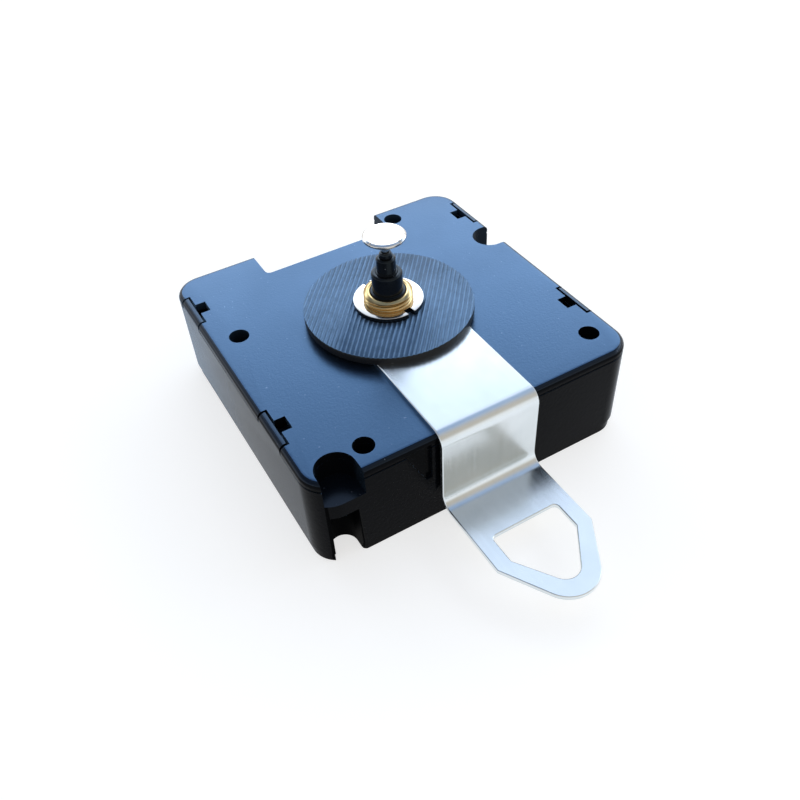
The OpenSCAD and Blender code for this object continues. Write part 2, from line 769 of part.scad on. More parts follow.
module antenna_winding() {
    color("#b5652b") translate([0, -rod_drop, rod_z]) rotate([0, 90, 0]) difference() {
        cylinder(r = rod_r + antenna_wind_t, h = antenna_wind_len, center = true);
        cylinder(r = rod_r + press_gap, h = antenna_wind_len + 1, center = true);
    }
}

module antenna_saddles() {
    color("#d8d8cf") for (s = [-1, 1]) difference() {
        translate([s * saddle_x, -rod_drop, (board_top + rod_z) / 2])
            cube([saddle_w, 2 * (rod_r + saddle_wall), rod_z - board_top], center = true);
        translate([0, -rod_drop, rod_z]) rotate([0, 90, 0])
            cylinder(r = rod_r + press_gap, h = rod_len + 2, center = true);
    }
}

module bobbin(x, z) {
    translate([x, 0, z]) rotate([90, 0, 0]) difference() {
        union() {
            cylinder(r = bobbin_hub_r, h = coil_len - eps, center = true);
            for (s = [-1, 1]) translate([0, 0, s * (coil_len - flange_t) / 2])
                cylinder(r = coil_rim_r, h = flange_t, center = true);
        }
        cube([stator_arm + 2 * press_gap, stator_t + 2 * press_gap, coil_len + 1], center = true);
    }
}

module winding(x, z) {
    translate([x, 0, z]) rotate([90, 0, 0]) difference() {
        cylinder(r = coil_r, h = coil_len - 2 * flange_t - 2 * press_gap, center = true);
        cylinder(r = bobbin_hub_r + press_gap, h = coil_len, center = true);
    }
}

// Bar through a coil, whose ends lie under the arms of the stator
module core(x, top) {
    translate([x - stator_arm / 2, -core_y - stator_arm / 2, top - stator_t])
        cube([stator_arm, 2 * core_y + stator_arm, stator_t]);
}

// Flat plate with two arms that lead from a coil to the hole round a rotor
module stator(side, x, rotor, z) {
    bore = magnet_r + air_gap;
    block = 2 * bore + 1.2;
    difference() {
        translate([0, 0, z]) linear_extrude(stator_t) {
            translate([rotor[0] - block / 2, -core_y - stator_arm / 2])
                square([block, core_y + stator_arm / 2]);
            translate([(side > 0 ? rotor[0] : x - stator_arm / 2), -core_y - stator_arm / 2])
                square([abs(x - rotor[0]) + stator_arm / 2, stator_arm]);
            translate([(side > 0 ? rotor[0] + block / 2 - stator_arm : x - stator_arm / 2),
                core_y - stator_arm / 2])
                square([abs(x - rotor[0]) + stator_arm / 2 - block / 2 + stator_arm, stator_arm]);
            translate([rotor[0] + side * (block / 2 - stator_arm / 2) - stator_arm / 2,
                -core_y - stator_arm / 2]) square([stator_arm, 2 * core_y + stator_arm]);
        }
        at(rotor) translate([0, 0, z - 1]) cylinder(r = bore, h = 3);
        for (a = [45, 225]) at(rotor) rotate(a) translate([bore, 0, z])
            cylinder(r = stator_notch_r, h = 3, center = true);
    }
}

module seconds_bobbin() {
    color("#e6e3d6") bobbin(coil_x, seconds_stator_z - stator_t / 2);
}

module seconds_winding() {
    color("#b5652b") winding(coil_x, seconds_stator_z - stator_t / 2);
}

module seconds_core() {
    color("#9aa0a6") core(coil_x, seconds_stator_z);
}

module seconds_stator() {
    color("#9aa0a6") stator(1, coil_x, seconds_rotor_at, seconds_stator_z);
}

module minute_bobbin() {
    color("#e6e3d6") bobbin(-coil_x, minute_stator_z - stator_t / 2);
}

module minute_winding() {
    color("#b5652b") winding(-coil_x, minute_stator_z - stator_t / 2);
}

module minute_core() {
    color("#9aa0a6") core(-coil_x, minute_stator_z);
}

module minute_stator() {
    color("#9aa0a6") stator(-1, -coil_x, minute_rotor_at, minute_stator_z);
}

// Magnet rotor with its pinion and two pivots
module rotor(place, magnet_z, mesh_z, size, turn, foot, top) {
    at(place) {
        translate([0, 0, foot]) cylinder(r = pivot_r, h = top - foot);
        translate([0, 0, magnet_z - 0.5]) cylinder(r = magnet_r, h = stator_t + magnet_over);
        translate([0, 0, magnet_z - 1.1]) cylinder(r = 0.6, h = 0.7);
        translate([0, 0, mesh_z - 0.25]) linear_extrude(wheel_t + 0.5) gear_2d(rotor_teeth, size, turn);
    }
}

module seconds_rotor() {
    color("#5a5f66") rotor(seconds_rotor_at, seconds_stator_z, seconds_idler_z, seconds_module,
        seconds_rotor_mesh, back_t, seconds_bridge_z + bridge_t);
}

module minute_rotor() {
    color("#5a5f66") rotor(minute_rotor_at, minute_stator_z, minute_idler_z, minute_motor_module,
        minute_rotor_mesh, back_t + 1, plate_z + bridge_t);
}

module seconds_idler() {
    color("#e8e6dc") at(seconds_idler_at) {
        translate([0, 0, back_t]) cylinder(r = arbor_r, h = seconds_bridge_z + bridge_t - back_t);
        translate([0, 0, seconds_wheel_z - 0.7]) cylinder(r = 0.7, h = 0.5);
        translate([0, 0, seconds_wheel_z - 0.3]) linear_extrude(seconds_idler_z - seconds_wheel_z + 0.3 + eps)
            gear_2d(seconds_pinion_teeth, seconds_module, seconds_idler_turn);
        translate([0, 0, seconds_idler_z]) linear_extrude(wheel_t)
            gear_2d(seconds_idler_teeth, seconds_module, 0);
        translate([0, 0, seconds_idler_z]) cylinder(r = 0.9, h = wheel_t + 0.6);
    }
}

module minute_idler() {
    color("#e8e6dc") at(minute_idler_at) {
        translate([0, 0, back_t + 1]) cylinder(r = arbor_r, h = plate_z + bridge_t - back_t - 1);
        translate([0, 0, minute_idler_z - 0.7]) cylinder(r = 0.9, h = 0.8);
        translate([0, 0, minute_idler_z]) linear_extrude(wheel_t)
            gear_2d(minute_idler_teeth, minute_motor_module, 0);
        translate([0, 0, minute_idler_z + wheel_t - eps])
            linear_extrude(minute_wheel_z - minute_idler_z + 0.3)
            gear_2d(minute_pinion_teeth, minute_module, minute_idler_turn);
    }
}

module seconds_wheel() {
    color("#e8e6dc") difference() {
        union() {
            translate([0, 0, seconds_wheel_z]) linear_extrude(wheel_t)
                gear_2d(seconds_teeth, seconds_module, 0);
            translate([0, 0, seconds_wheel_z - 0.6]) cylinder(r = 1.3, h = wheel_t + 1);
        }
        cylinder(r = arbor_foot_r + press_gap, h = case_h);
    }
}

module seconds_arbor() {
    color("#15171b") difference() {
        union() {
            translate([0, 0, back_t]) cylinder(r = arbor_foot_r, h = minute_wheel_z - back_t);
            translate([0, 0, minute_wheel_z - 0.3])
                cylinder(r = seconds_r, h = seconds_top - shaft_chamfer - minute_wheel_z + 0.3);
            translate([0, 0, seconds_top - shaft_chamfer - eps])
                cylinder(r1 = seconds_r, r2 = seconds_r - shaft_chamfer / 2, h = shaft_chamfer + eps);
        }
        translate([0, 0, seconds_top - stem_in - 0.5]) cylinder(r = stem_bore_r, h = stem_in + 2);
    }
}

module minute_wheel() {
    color("#15171b") difference() {
        union() {
            translate([0, 0, minute_wheel_z]) linear_extrude(wheel_t)
                gear_2d(minute_teeth, minute_module, 0);
            translate([0, 0, minute_wheel_z - 0.2]) cylinder(r = 2.2, h = plate_z - minute_wheel_z + 0.1);
            translate([0, 0, minute_wheel_z])
                cylinder(r = minute_journal_r, h = hour_top + part_gap - minute_wheel_z);
            translate([0, 0, minute_wheel_z])
                cylinder(r = minute_r, h = minute_top - shaft_chamfer - minute_wheel_z);
            translate([0, 0, minute_top - shaft_chamfer - eps])
                cylinder(r1 = minute_r, r2 = minute_r - shaft_chamfer, h = shaft_chamfer + eps);
        }
        cylinder(r = minute_bore_r, h = 2 * minute_top);
    }
}

module cannon_pinion() {
    color("#e8e6dc") difference() {
        translate([0, 0, plate_top + 0.2]) linear_extrude(hour_z - 0.2 - plate_top - 0.2)
            gear_2d(cannon_teeth, motion_module, 0);
        cylinder(r = minute_journal_r + press_gap, h = case_h);
    }
}

module motion_stud() {
    color("silver") at(motion_at) translate([0, 0, plate_z])
        cylinder(r = arbor_r, h = hour_z + wheel_t + 0.8 - plate_z);
}

module motion_wheel() {
    color("#e8e6dc") at(motion_at) difference() {
        union() {
            translate([0, 0, motion_z]) linear_extrude(wheel_t)
                gear_2d(motion_teeth, motion_module, motion_turn);
            translate([0, 0, plate_top + part_gap]) cylinder(r = 1.2, h = motion_z - plate_top);
            translate([0, 0, motion_z + wheel_t - eps]) linear_extrude(wheel_t + 0.8)
                gear_2d(motion_pinion_teeth, hour_module, 0);
        }
        translate([0, 0, plate_z]) cylinder(r = arbor_r + run_gap, h = 5);
    }
}

module hour_wheel() {
    color("#15171b") difference() {
        union() {
            translate([0, 0, hour_z]) linear_extrude(wheel_t)
                gear_2d(hour_teeth, hour_module, hour_turn);
            translate([0, 0, hour_z])
                cylinder(r = hour_shoulder_r + 0.6, h = bush_flange_z - part_gap - hour_z);
            translate([0, 0, hour_z]) cylinder(r = hour_shoulder_r, h = bush_top - hour_z);
            translate([0, 0, hour_z]) cylinder(r = hour_r, h = hour_top - shaft_chamfer - hour_z);
            translate([0, 0, hour_top - shaft_chamfer - eps])
                cylinder(r1 = hour_r, r2 = hour_r - shaft_chamfer, h = shaft_chamfer + eps);
        }
        cylinder(r = hour_bore_r, h = 2 * hour_top);
    }
}

module threaded_bush() {
    color("#b08a45") difference() {
        union() {
            translate([0, 0, bush_flange_z]) cylinder(r = bush_flange_r, h = bush_flange_t, $fn = 6);
            translate([0, 0, bush_flange_z]) cylinder(r = bush_neck_r, h = bush_top - bush_flange_z);
            translate([0, 0, nut_z + nut_t]) cylinder(r = bush_r, h = bush_top - nut_z - nut_t);
        }
        cylinder(r = shoulder_bore_r, h = 2 * bush_top);
    }
}

module round_nut() {
    color("#e4e6e8") difference() {
        translate([0, 0, nut_z]) cylinder(r = nut_r, h = nut_t);
        cylinder(r = bush_neck_r + press_gap, h = 2 * nut_z);
        for (s = [0, 180]) rotate(nut_turn + s)
            translate([nut_r, 0, nut_z + nut_t / 2]) cube([2.4, nut_slot_w, 2 * nut_t], center = true);
    }
}

module rubber_washer() {
    color("#33414f") difference() {
        translate([0, 0, washer_z]) cylinder(r = washer_r, h = washer_t);
        cylinder(r = bush_neck_r + part_gap, h = 2 * washer_z);
    }
}

// Side view of the bent strip, drawn with Y to the right and Z up
module strip_section(tail, tip) {
    face_y = half + strip_gap;
    top = strip_z + strip_t;
    knee_y = face_y - top_bend_r;
    knee_z = strip_z - top_bend_r;
    foot_y = face_y + strip_t + low_bend_r;
    foot_z = loop_z + strip_t + low_bend_r;
    translate([-tail, strip_z]) square([knee_y + tail, strip_t]);
    translate([knee_y, knee_z]) intersection() {
        difference() {
            circle(top_bend_r + strip_t);
            circle(top_bend_r);
        }
        square(top - knee_z + 1);
    }
    translate([face_y, foot_z]) square([strip_t, knee_z - foot_z]);
    translate([foot_y, foot_z]) intersection() {
        difference() {
            circle(low_bend_r + strip_t);
            circle(low_bend_r);
        }
        mirror([1, 0]) mirror([0, 1]) square(low_bend_r + strip_t + 1);
    }
    translate([foot_y, loop_z]) square([tip - foot_y, strip_t]);
}

// Outline seen from above: a parallel strip that narrows to a round tip
module tapered_2d(w, shoulder, tip, r, start) {
    reach = tip - r - shoulder;
    side = w / 2;
    slope = atan2(side, reach);
    lean = slope - asin(r / norm([side, reach]));
    touch = [r * cos(lean), tip - r + r * sin(lean)];
    polygon([[-side, start], [side, start], [side, shoulder], touch, [-touch[0], touch[1]],
        [-side, shoulder]]);
    translate([0, tip - r]) circle(r);
}

module hanger_bracket() {
    shoulder = half + loop_shoulder;
    tip = half + loop_tip;
    eye_side_y = eye_near + eye_corner_r;
    color("#cfd4d6") difference() {
        intersection() {
            rotate([90, 0, 90]) linear_extrude(strip_w, center = true)
                strip_section(strip_tail, tip);
            translate([0, 0, -1]) linear_extrude(2 * case_h)
                tapered_2d(strip_w, shoulder, tip, loop_tip_r, -strip_tail - 1);
        }
        cylinder(r = bush_neck_r + part_gap, h = 2 * case_h);
        translate([0, 0, loop_z - 1]) linear_extrude(strip_t + 2) {
            tapered_2d(eye_w, shoulder - 0.3, half + eye_tip, eye_tip_r, half + eye_side_y);
            translate([0, half + eye_near + 2]) rounded_square(eye_w, 4, eye_corner_r);
        }
    }
}

module arbor_cap() {
    color("#f0f1f2") {
        translate([0, 0, seconds_top - stem_in]) cylinder(r = stem_r, h = stem_in + stem_h + eps);
        translate([0, 0, cap_z])
            cylinder(r1 = cap_r - cap_low_chamfer, r2 = cap_r, h = cap_low_bevel_h + eps);
        translate([0, 0, cap_z + cap_low_bevel_h])
            cylinder(r = cap_r, h = cap_t - cap_low_bevel_h - cap_top_bevel_h);
        translate([0, 0, cap_z + cap_t - cap_top_bevel_h - eps])
            cylinder(r1 = cap_r, r2 = cap_r - cap_top_chamfer, h = cap_top_bevel_h + eps);
    }
}

module contact_plate(side) {
    translate([side * (bay_half - contact_t / 2), cell_y, bay_z - contact_drop])
        cube([contact_t, contact_w, contact_w], center = true);
}

module positive_contact() {
    color("#c8ccd0") {
        contact_plate(1);
        translate([bay_half - contact_t - positive_stud_h, cell_y, bay_z]) rotate([0, 90, 0])
            cylinder(r = positive_stud_r, h = positive_stud_h + eps);
    }
}

module negative_contact() {
    color("#c8ccd0") {
        contact_plate(-1);
        intersection() {
            translate([-bay_half + contact_t + negative_rise - negative_bow_r, cell_y, bay_z])
                difference() {
                    rotate([90, 0, 0]) cylinder(r = negative_bow_r, h = negative_w, center = true);
                    rotate([90, 0, 0])
                        cylinder(r = negative_bow_r - contact_t, h = negative_w + 1, center = true);
                }
            translate([-bay_half + contact_t / 2, cell_y - contact_w / 2,
                bay_z - contact_drop - contact_w / 2])
                cube([2 * negative_rise, contact_w, contact_w]);
        }
    }
}

rear_housing();
front_cover();
middle_plate();
seconds_bridge();
plate_screws();
circuit_board();
timing_chip();
quartz_crystal();
capacitors();
board_screws();
tact_domes();
reset_button();
receive_button();
ferrite_rod();
antenna_winding();
antenna_saddles();
seconds_bobbin();
seconds_winding();
seconds_stator();
seconds_core();
minute_bobbin();
minute_winding();
minute_stator();
minute_core();
seconds_rotor();
minute_rotor();
seconds_idler();
minute_idler();
seconds_wheel();
seconds_arbor();
minute_wheel();
cannon_pinion();
motion_wheel();
motion_stud();
hour_wheel();
threaded_bush();
round_nut();
rubber_washer();
hanger_bracket();
arbor_cap();
positive_contact();
negative_contact();
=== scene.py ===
import logging
import math
from dataclasses import dataclass, field
from enum import Enum, IntEnum

import bmesh
import bpy
import numpy as np
from mathutils import Matrix


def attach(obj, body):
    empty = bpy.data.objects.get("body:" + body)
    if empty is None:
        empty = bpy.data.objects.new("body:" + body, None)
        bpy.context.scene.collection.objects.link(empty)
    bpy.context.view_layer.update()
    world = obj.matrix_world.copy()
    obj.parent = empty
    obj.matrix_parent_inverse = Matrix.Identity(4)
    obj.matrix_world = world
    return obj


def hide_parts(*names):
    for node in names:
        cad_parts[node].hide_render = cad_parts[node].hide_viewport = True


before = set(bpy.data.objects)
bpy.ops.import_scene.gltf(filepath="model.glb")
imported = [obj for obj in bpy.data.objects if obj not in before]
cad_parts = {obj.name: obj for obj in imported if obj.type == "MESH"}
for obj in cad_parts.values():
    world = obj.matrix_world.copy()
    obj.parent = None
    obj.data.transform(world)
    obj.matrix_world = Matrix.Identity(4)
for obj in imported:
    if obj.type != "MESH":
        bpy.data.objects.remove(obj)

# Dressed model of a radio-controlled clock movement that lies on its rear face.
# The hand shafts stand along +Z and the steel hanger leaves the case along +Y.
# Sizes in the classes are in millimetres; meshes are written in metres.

LOG = logging.getLogger("clock_movement")
MM = 0.001
TURN = 2.0 * math.pi
WELD = 2e-6  # metres between points that are one
NEAR = 1e-4  # millimetres that two equal sizes may differ by
UPRIGHT = 0.3  # part along Z of a normal, below which a face counts as a side

# Short names of types
Colour = tuple[float, float, float]
Triple = tuple[float, float, float]
Piece = bpy.types.Object
Material = bpy.types.Material
Socket = bpy.types.NodeSocket


# Mesh helpers


def grid_faces(rows: int, columns: int, closed: bool) -> np.ndarray:
    """Joins a grid of points into four-sided faces, each to its right and upper neighbour.

    Args:
        rows: Number of rows of points.
        columns: Number of points in each row.
        closed: True if the last row and the last column join the first.

    Returns:
        An array of shape (faces, 4) with point indices.
    """
    loose = 0 if closed else 1
    i, j = np.meshgrid(np.arange(rows - loose), np.arange(columns - loose), indexing="ij")
    up, right = (i + 1) % rows, (j + 1) % columns
    corners = [i * columns + j, i * columns + right, up * columns + right, up * columns + j]
    return np.stack(corners, axis=-1).reshape(-1, 4)


def place_mesh(mesh: bpy.types.Mesh) -> Piece:
    """Makes an object of the mesh's own name and puts it in the scene.

    Args:
        mesh: The finished mesh.

    Returns:
        The new object.
    """
    piece = bpy.data.objects.new(mesh.name, mesh)
    bpy.context.scene.collection.objects.link(piece)
    return piece


def mesh_piece(name: str, points: np.ndarray, faces: np.ndarray, merge: float = 1e-7) -> Piece:
    """Writes points and faces into a new object, merges doubles and turns the faces outwards.

    Args:
        name: Name of the piece.
        points: Array of shape (count, 3) in millimetres.
        faces: Array of shape (faces, 4) with point indices.
        merge: Distance in metres below which points are merged.

    Returns:
        The new object, at the origin, with its place in its mesh.
    """
    mesh = bpy.data.meshes.new(name)
    mesh.from_pydata((points.reshape(-1, 3) * MM).tolist(), [], faces.tolist())
    work = bmesh.new()
    work.from_mesh(mesh)
    bmesh.ops.remove_doubles(work, verts=work.verts, dist=merge)
    bmesh.ops.dissolve_degenerate(work, edges=work.edges, dist=merge)
    bmesh.ops.recalc_face_normals(work, faces=work.faces)
    work.to_mesh(mesh)
    work.free()
    return place_mesh(mesh)


def smooth_by_angle(piece: Piece, degrees: float) -> None:
    """Shades faces smooth, and keeps edges sharper than the angle crisp.

    Args:
        piece: The object to shade.
        degrees: Smallest angle between faces that stays a crisp edge.
    """
    mesh = piece.data
    mesh.polygons.foreach_set("use_smooth", np.ones(len(mesh.polygons), dtype=bool))
    work = bmesh.new()
    work.from_mesh(mesh)
    limit = math.radians(degrees)
    for edge in work.edges:
        edge.smooth = len(edge.link_faces) == 2 and edge.calc_face_angle(0.0) < limit
    work.to_mesh(mesh)
    work.free()
    mesh.update()


def rounded_profile(corners: list[Triple] | np.ndarray, steps: int = 4) -> np.ndarray:
    """Rounds the corners of a closed outline in a plane through an axis.

    Each corner (r, z, radius) becomes a quadratic curve, (1-t)^2 start + 2 t (1-t) corner +
    t^2 stop. Its start and its stop lie on the two sides, at that radius from the corner.

    Args:
        corners: Corners as (distance from the axis, height, rounding radius).
        steps: Number of points on each rounded corner.

    Returns:
        An array of shape (count, 2) with distances and heights.
    """
    ring = np.array(corners, dtype=float)
    place, radius = ring[:, :2], ring[:, 2]
    before = np.roll(place, 1, axis=0) - place
    after = np.roll(place, -1, axis=0) - place
    before_len = np.linalg.norm(before, axis=1)
    after_len = np.linalg.norm(after, axis=1)
    most = 0.49  # of a side, so that the roundings at its ends don't meet
    cut = np.minimum(radius, most * np.minimum(before_len, after_len))
    start = place + before / before_len[:, None] * cut[:, None]
    stop = place + after / after_len[:, None] * cut[:, None]
    t = np.linspace(0.0, 1.0, steps)[None, :, None]
    curve = (1 - t) ** 2 * start[:, None] + 2 * t * (1 - t) * place[:, None] + t**2 * stop[:, None]
    return curve.reshape(-1, 2)


def polar_points(radius: np.ndarray, angle: np.ndarray, height: np.ndarray) -> np.ndarray:
    """Points round the upright axis: (r cos a, r sin a, z).

    Args:
        radius: Distances from the axis.
        angle: Angles in radians.
        height: Heights.

    Returns:
        Grid of points, shape (rows, columns, 3), from arrays that are spread to one shape.
    """
    r, a, z = np.broadcast_arrays(radius, angle, height)
    return np.stack([r * np.cos(a), r * np.sin(a), z], axis=-1)


def closed_piece(name: str, points: np.ndarray, crisp: float) -> Piece:
    """Makes a piece of a closed section that is carried all the way round the axis.

    Args:
        name: Name of the piece.
        points: Grid of points, shape (rows, columns, 3).
        crisp: Smallest angle in degrees between faces that stays a crisp edge.

    Returns:
        The new object.
    """
    piece = mesh_piece(name, points, grid_faces(points.shape[0], points.shape[1], True))
    smooth_by_angle(piece, crisp)
    return piece


def merged_copy(node: str, name: str) -> Piece:
    """Copies a node of the frame into a new object whose loose triangles are joined.

    Args:
        node: Name of the node.
        name: Name of the new piece.

    Returns:
        The new object.
    """
    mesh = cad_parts[node].data.copy()
    mesh.name = name
    work = bmesh.new()
    work.from_mesh(mesh)
    bmesh.ops.remove_doubles(work, verts=work.verts, dist=WELD)
    flat = math.radians(0.5)
    bmesh.ops.dissolve_limit(work, angle_limit=flat, verts=work.verts, edges=work.edges)
    work.to_mesh(mesh)
    work.free()
    mesh.materials.clear()
    return place_mesh(mesh)


def soften_edges(piece: Piece, width: float, degrees: float = 32.0, steps: int = 2) -> None:
    """Gives a piece a fine rounding along its sharp edges.

    Args:
        piece: The object.
        width: Width of the rounding in millimetres.
        degrees: Edges sharper than this are rounded.
        steps: Faces across each rounding.
    """
    bevel = piece.modifiers.new("edge_rounding", "BEVEL")
    bevel.width = width * MM
    bevel.segments = steps
    bevel.limit_method = "ANGLE"
    bevel.angle_limit = math.radians(degrees)
    bevel.use_clamp_overlap = True
    bevel.harden_normals = False


class FaceValue(Enum):
    """What is read of a face."""

    NORMAL = "normal"
    CENTRE = "center"


def face_values(piece: Piece, value: FaceValue) -> np.ndarray:
    """Reads a vector of every face.

    Args:
        piece: The object.
        value: Which vector.

    Returns:
        An array of shape (faces, 3).
    """
    read = np.empty(len(piece.data.polygons) * 3)
    piece.data.polygons.foreach_get(value.value, read)
    return read.reshape(-1, 3)


def paint_faces(piece: Piece, slot: np.ndarray) -> None:
    """Gives every face one of the piece's materials.

    Args:
        piece: The object.
        slot: Index of the material of each face.
    """
    piece.data.polygons.foreach_set("material_index", slot.astype(np.int32))


# Finishes

WIDE_NOISE = (0.25, 0.75)  # ranges within the values of a noise
MOST_NOISE = (0.3, 0.7)
UPPER_NOISE = (0.35, 0.7)


class NodeSheet:
    """A node tree under construction, with short calls for the nodes that are used often."""

    def __init__(self, tree: bpy.types.NodeTree) -> None:
        """Starts on a tree.

        Args:
            tree: Node tree of a material or of the world.
        """
        self.tree = tree

    def node(self, kind: str, **values: object) -> bpy.types.Node:
        """Adds a node and sets its properties.

        Args:
            kind: Type of the node.
            **values: Properties of the node by name.

        Returns:
            The new node.
        """
        made = self.tree.nodes.new(kind)
        for key, value in values.items():
            setattr(made, key, value)
        return made

    def feed(self, target: Socket, value: object) -> None:
        """Links a socket to an input, or sets the input to a plain value.

        Args:
            target: The input socket.
            value: An output socket, a number, or a tuple of three numbers.
        """
        if isinstance(value, Socket):
            self.tree.links.new(value, target)
        else:
            target.default_value = (*value, 1.0) if target.type == "RGBA" else value

    def split(self, vector: Socket) -> list[Socket]:
        """Splits a vector.

        Args:
            vector: The vector socket.

        Returns:
            The sockets of its three parts.
        """
        parts = self.node("ShaderNodeSeparateXYZ")
        self.feed(parts.inputs[0], vector)
        return list(parts.outputs)

    def span(self, value: Socket, low: float, high: float, to_low: float = 0.0,
             to_high: float = 1.0) -> Socket:
        """Maps a range of a value to another range, smoothly and with clamped ends.

        Args:
            value: The value socket.
            low: Start of the range.
            high: End of the range.
            to_low: Result at the start.
            to_high: Result at the end.

        Returns:
            The mapped value socket.
        """
        made = self.node("ShaderNodeMapRange", interpolation_type="SMOOTHSTEP")
        self.feed(made.inputs["Value"], value)
        ends = {"From Min": low, "From Max": high, "To Min": to_low, "To Max": to_high}
        for key, number in ends.items():
            made.inputs[key].default_value = number
        return made.outputs["Result"]

    def blend(self, amount: Socket, first: Socket | Colour, second: Colour) -> Socket:
        """Mixes two colours.

        Args:
            amount: Share of the second colour.
            first: First colour.
            second: Second colour.

        Returns:
            The colour socket.
        """
        made = self.node("ShaderNodeMix", data_type="RGBA")
        for index, value in ((0, amount), (6, first), (7, second)):
            self.feed(made.inputs[index], value)
        return made.outputs[2]

    def maths(self, operation: str, first: Socket, second: Socket | float = 0.0) -> Socket:
        """One step of arithmetic on two values.

        Args:
            operation: Name of the operation.
            first: First value.
            second: Second value.

        Returns:
            The result socket.
        """
        made = self.node("ShaderNodeMath", operation=operation)
        self.feed(made.inputs[0], first)
        self.feed(made.inputs[1], second)
        return made.outputs[0]


class FinishSheet(NodeSheet):
    """A material under construction, with one Principled shader and Object coordinates."""

    def __init__(self, name: str) -> None:
        """Starts a material.

        Args:
            name: Name of the material.
        """
        self.material = bpy.data.materials.new(name)
        self.material.use_nodes = True
        super().__init__(self.material.node_tree)
        self.shader = self.tree.nodes["Principled BSDF"]
        self.place = self.node("ShaderNodeTexCoord").outputs["Object"]

    def moved(self, scale: Triple = (1.0, 1.0, 1.0), turn: float = 0.0) -> Socket:
        """Object coordinates that are scaled and then turned about Z.

        Args:
            scale: Factor along each axis.
            turn: Turn about Z in degrees.

        Returns:
            The vector socket.
        """
        mapping = self.node("ShaderNodeMapping", vector_type="POINT")
        mapping.inputs["Rotation"].default_value = (0.0, 0.0, math.radians(turn))
        mapping.inputs["Scale"].default_value = scale
        self.feed(mapping.inputs["Vector"], self.place)
        return mapping.outputs["Vector"]

    def noise(self, scale: float, detail: float = 2.0, roughness: float = 0.6,
              vector: Socket | None = None) -> Socket:
        """A noise value between 0 and 1.

        Args:
            scale: Noise cells per metre.
            detail: Octaves.
            roughness: Weight of the finer octaves.
            vector: Coordinates to read, if not the Object coordinates.

        Returns:
            The value socket.
        """
        made = self.node("ShaderNodeTexNoise")
        self.feed(made.inputs["Vector"], self.place if vector is None else vector)
        made.inputs["Scale"].default_value = scale
        made.inputs["Detail"].default_value = detail
        made.inputs["Roughness"].default_value = roughness
        return made.outputs["Fac"]

    def mottle(self, scale: float, first: Colour, second: Colour) -> Socket:
        """Mixes two colours by a coarse noise.

        Args:
            scale: Noise cells per metre.
            first: Colour where the noise is low.
            second: Colour where it is high.

        Returns:
            The colour socket.
        """
        return self.blend(self.span(self.noise(scale, 3.0), *UPPER_NOISE), first, second)

    def varied(self, value: Socket, middle: float, spread: tuple[float, float],
               reach: tuple[float, float] = MOST_NOISE) -> Socket:
        """Varies a number by a noise.

        Args:
            value: The noise.
            middle: The number.
            spread: What is added to the number at the low and at the high end of the noise.
            reach: Those two ends.

        Returns:
            The socket with the varied number.
        """
        low, high = (middle + change for change in spread)
        return self.span(value, *reach, low, high)

    def bump(self, height: Socket, distance: float, strength: float = 0.5) -> Socket:
        """Turns a height into a shading normal.

        Args:
            height: Height between 0 and 1.
            distance: Height in metres that a value of 1 stands for.
            strength: Strength of the effect.

        Returns:
            The normal socket.
        """
        made = self.node("ShaderNodeBump")
        self.feed(made.inputs["Height"], height)
        made.inputs["Strength"].default_value = strength
        made.inputs["Distance"].default_value = distance
        return made.outputs["Normal"]

    def finish(self, **sockets: object) -> Material:
        """Feeds the shader's inputs and returns the material.

        Args:
            **sockets: Values or sockets by input name, with _ for a space.

        Returns:
            The finished material.
        """
        for key, value in sockets.items():
            self.feed(self.shader.inputs[key.replace("_", " ")], value)
        return self.material


@dataclass(frozen=True)
class MouldedBlack:
    """Black moulded plastic, satin with a fine grain, a few dust specks and faint handling marks.

    Scales are in noise cells per metre, and heights in metres.
    """

    name: str = "moulded_black"
    colour: Colour = (0.012, 0.014, 0.019)
    dust: Colour = (0.16, 0.17, 0.19)
    dust_scale: float = 1900.0
    dust_range: tuple[float, float] = (0.755, 0.80)
    dust_share: float = 0.55
    roughness: float = 0.30
    spread: tuple[float, float] = (-0.015, 0.035)
    mark_scale: float = 55.0
    grain: float = 5200.0
    grain_height: float = 0.000006
    reflect: float = 0.5
    ior: float = 1.5
    tint: Colour = (1.0, 1.0, 1.0)

    def material(self) -> Material:
        """Builds the material.

        Returns:
            The material.
        """
        sheet = FinishSheet(self.name)
        dust = sheet.noise(self.dust_scale, 1.0, 0.4)
        share = sheet.span(dust, *self.dust_range, 0.0, self.dust_share)
        marks = sheet.noise(self.mark_scale, 3.0, 0.55)
        return sheet.finish(
            Base_Color=sheet.blend(share, self.colour, self.dust),
            Roughness=sheet.varied(marks, self.roughness, self.spread, WIDE_NOISE),
            Normal=sheet.bump(sheet.noise(self.grain), self.grain_height),
            Specular_IOR_Level=self.reflect, IOR=self.ior, Specular_Tint=self.tint)


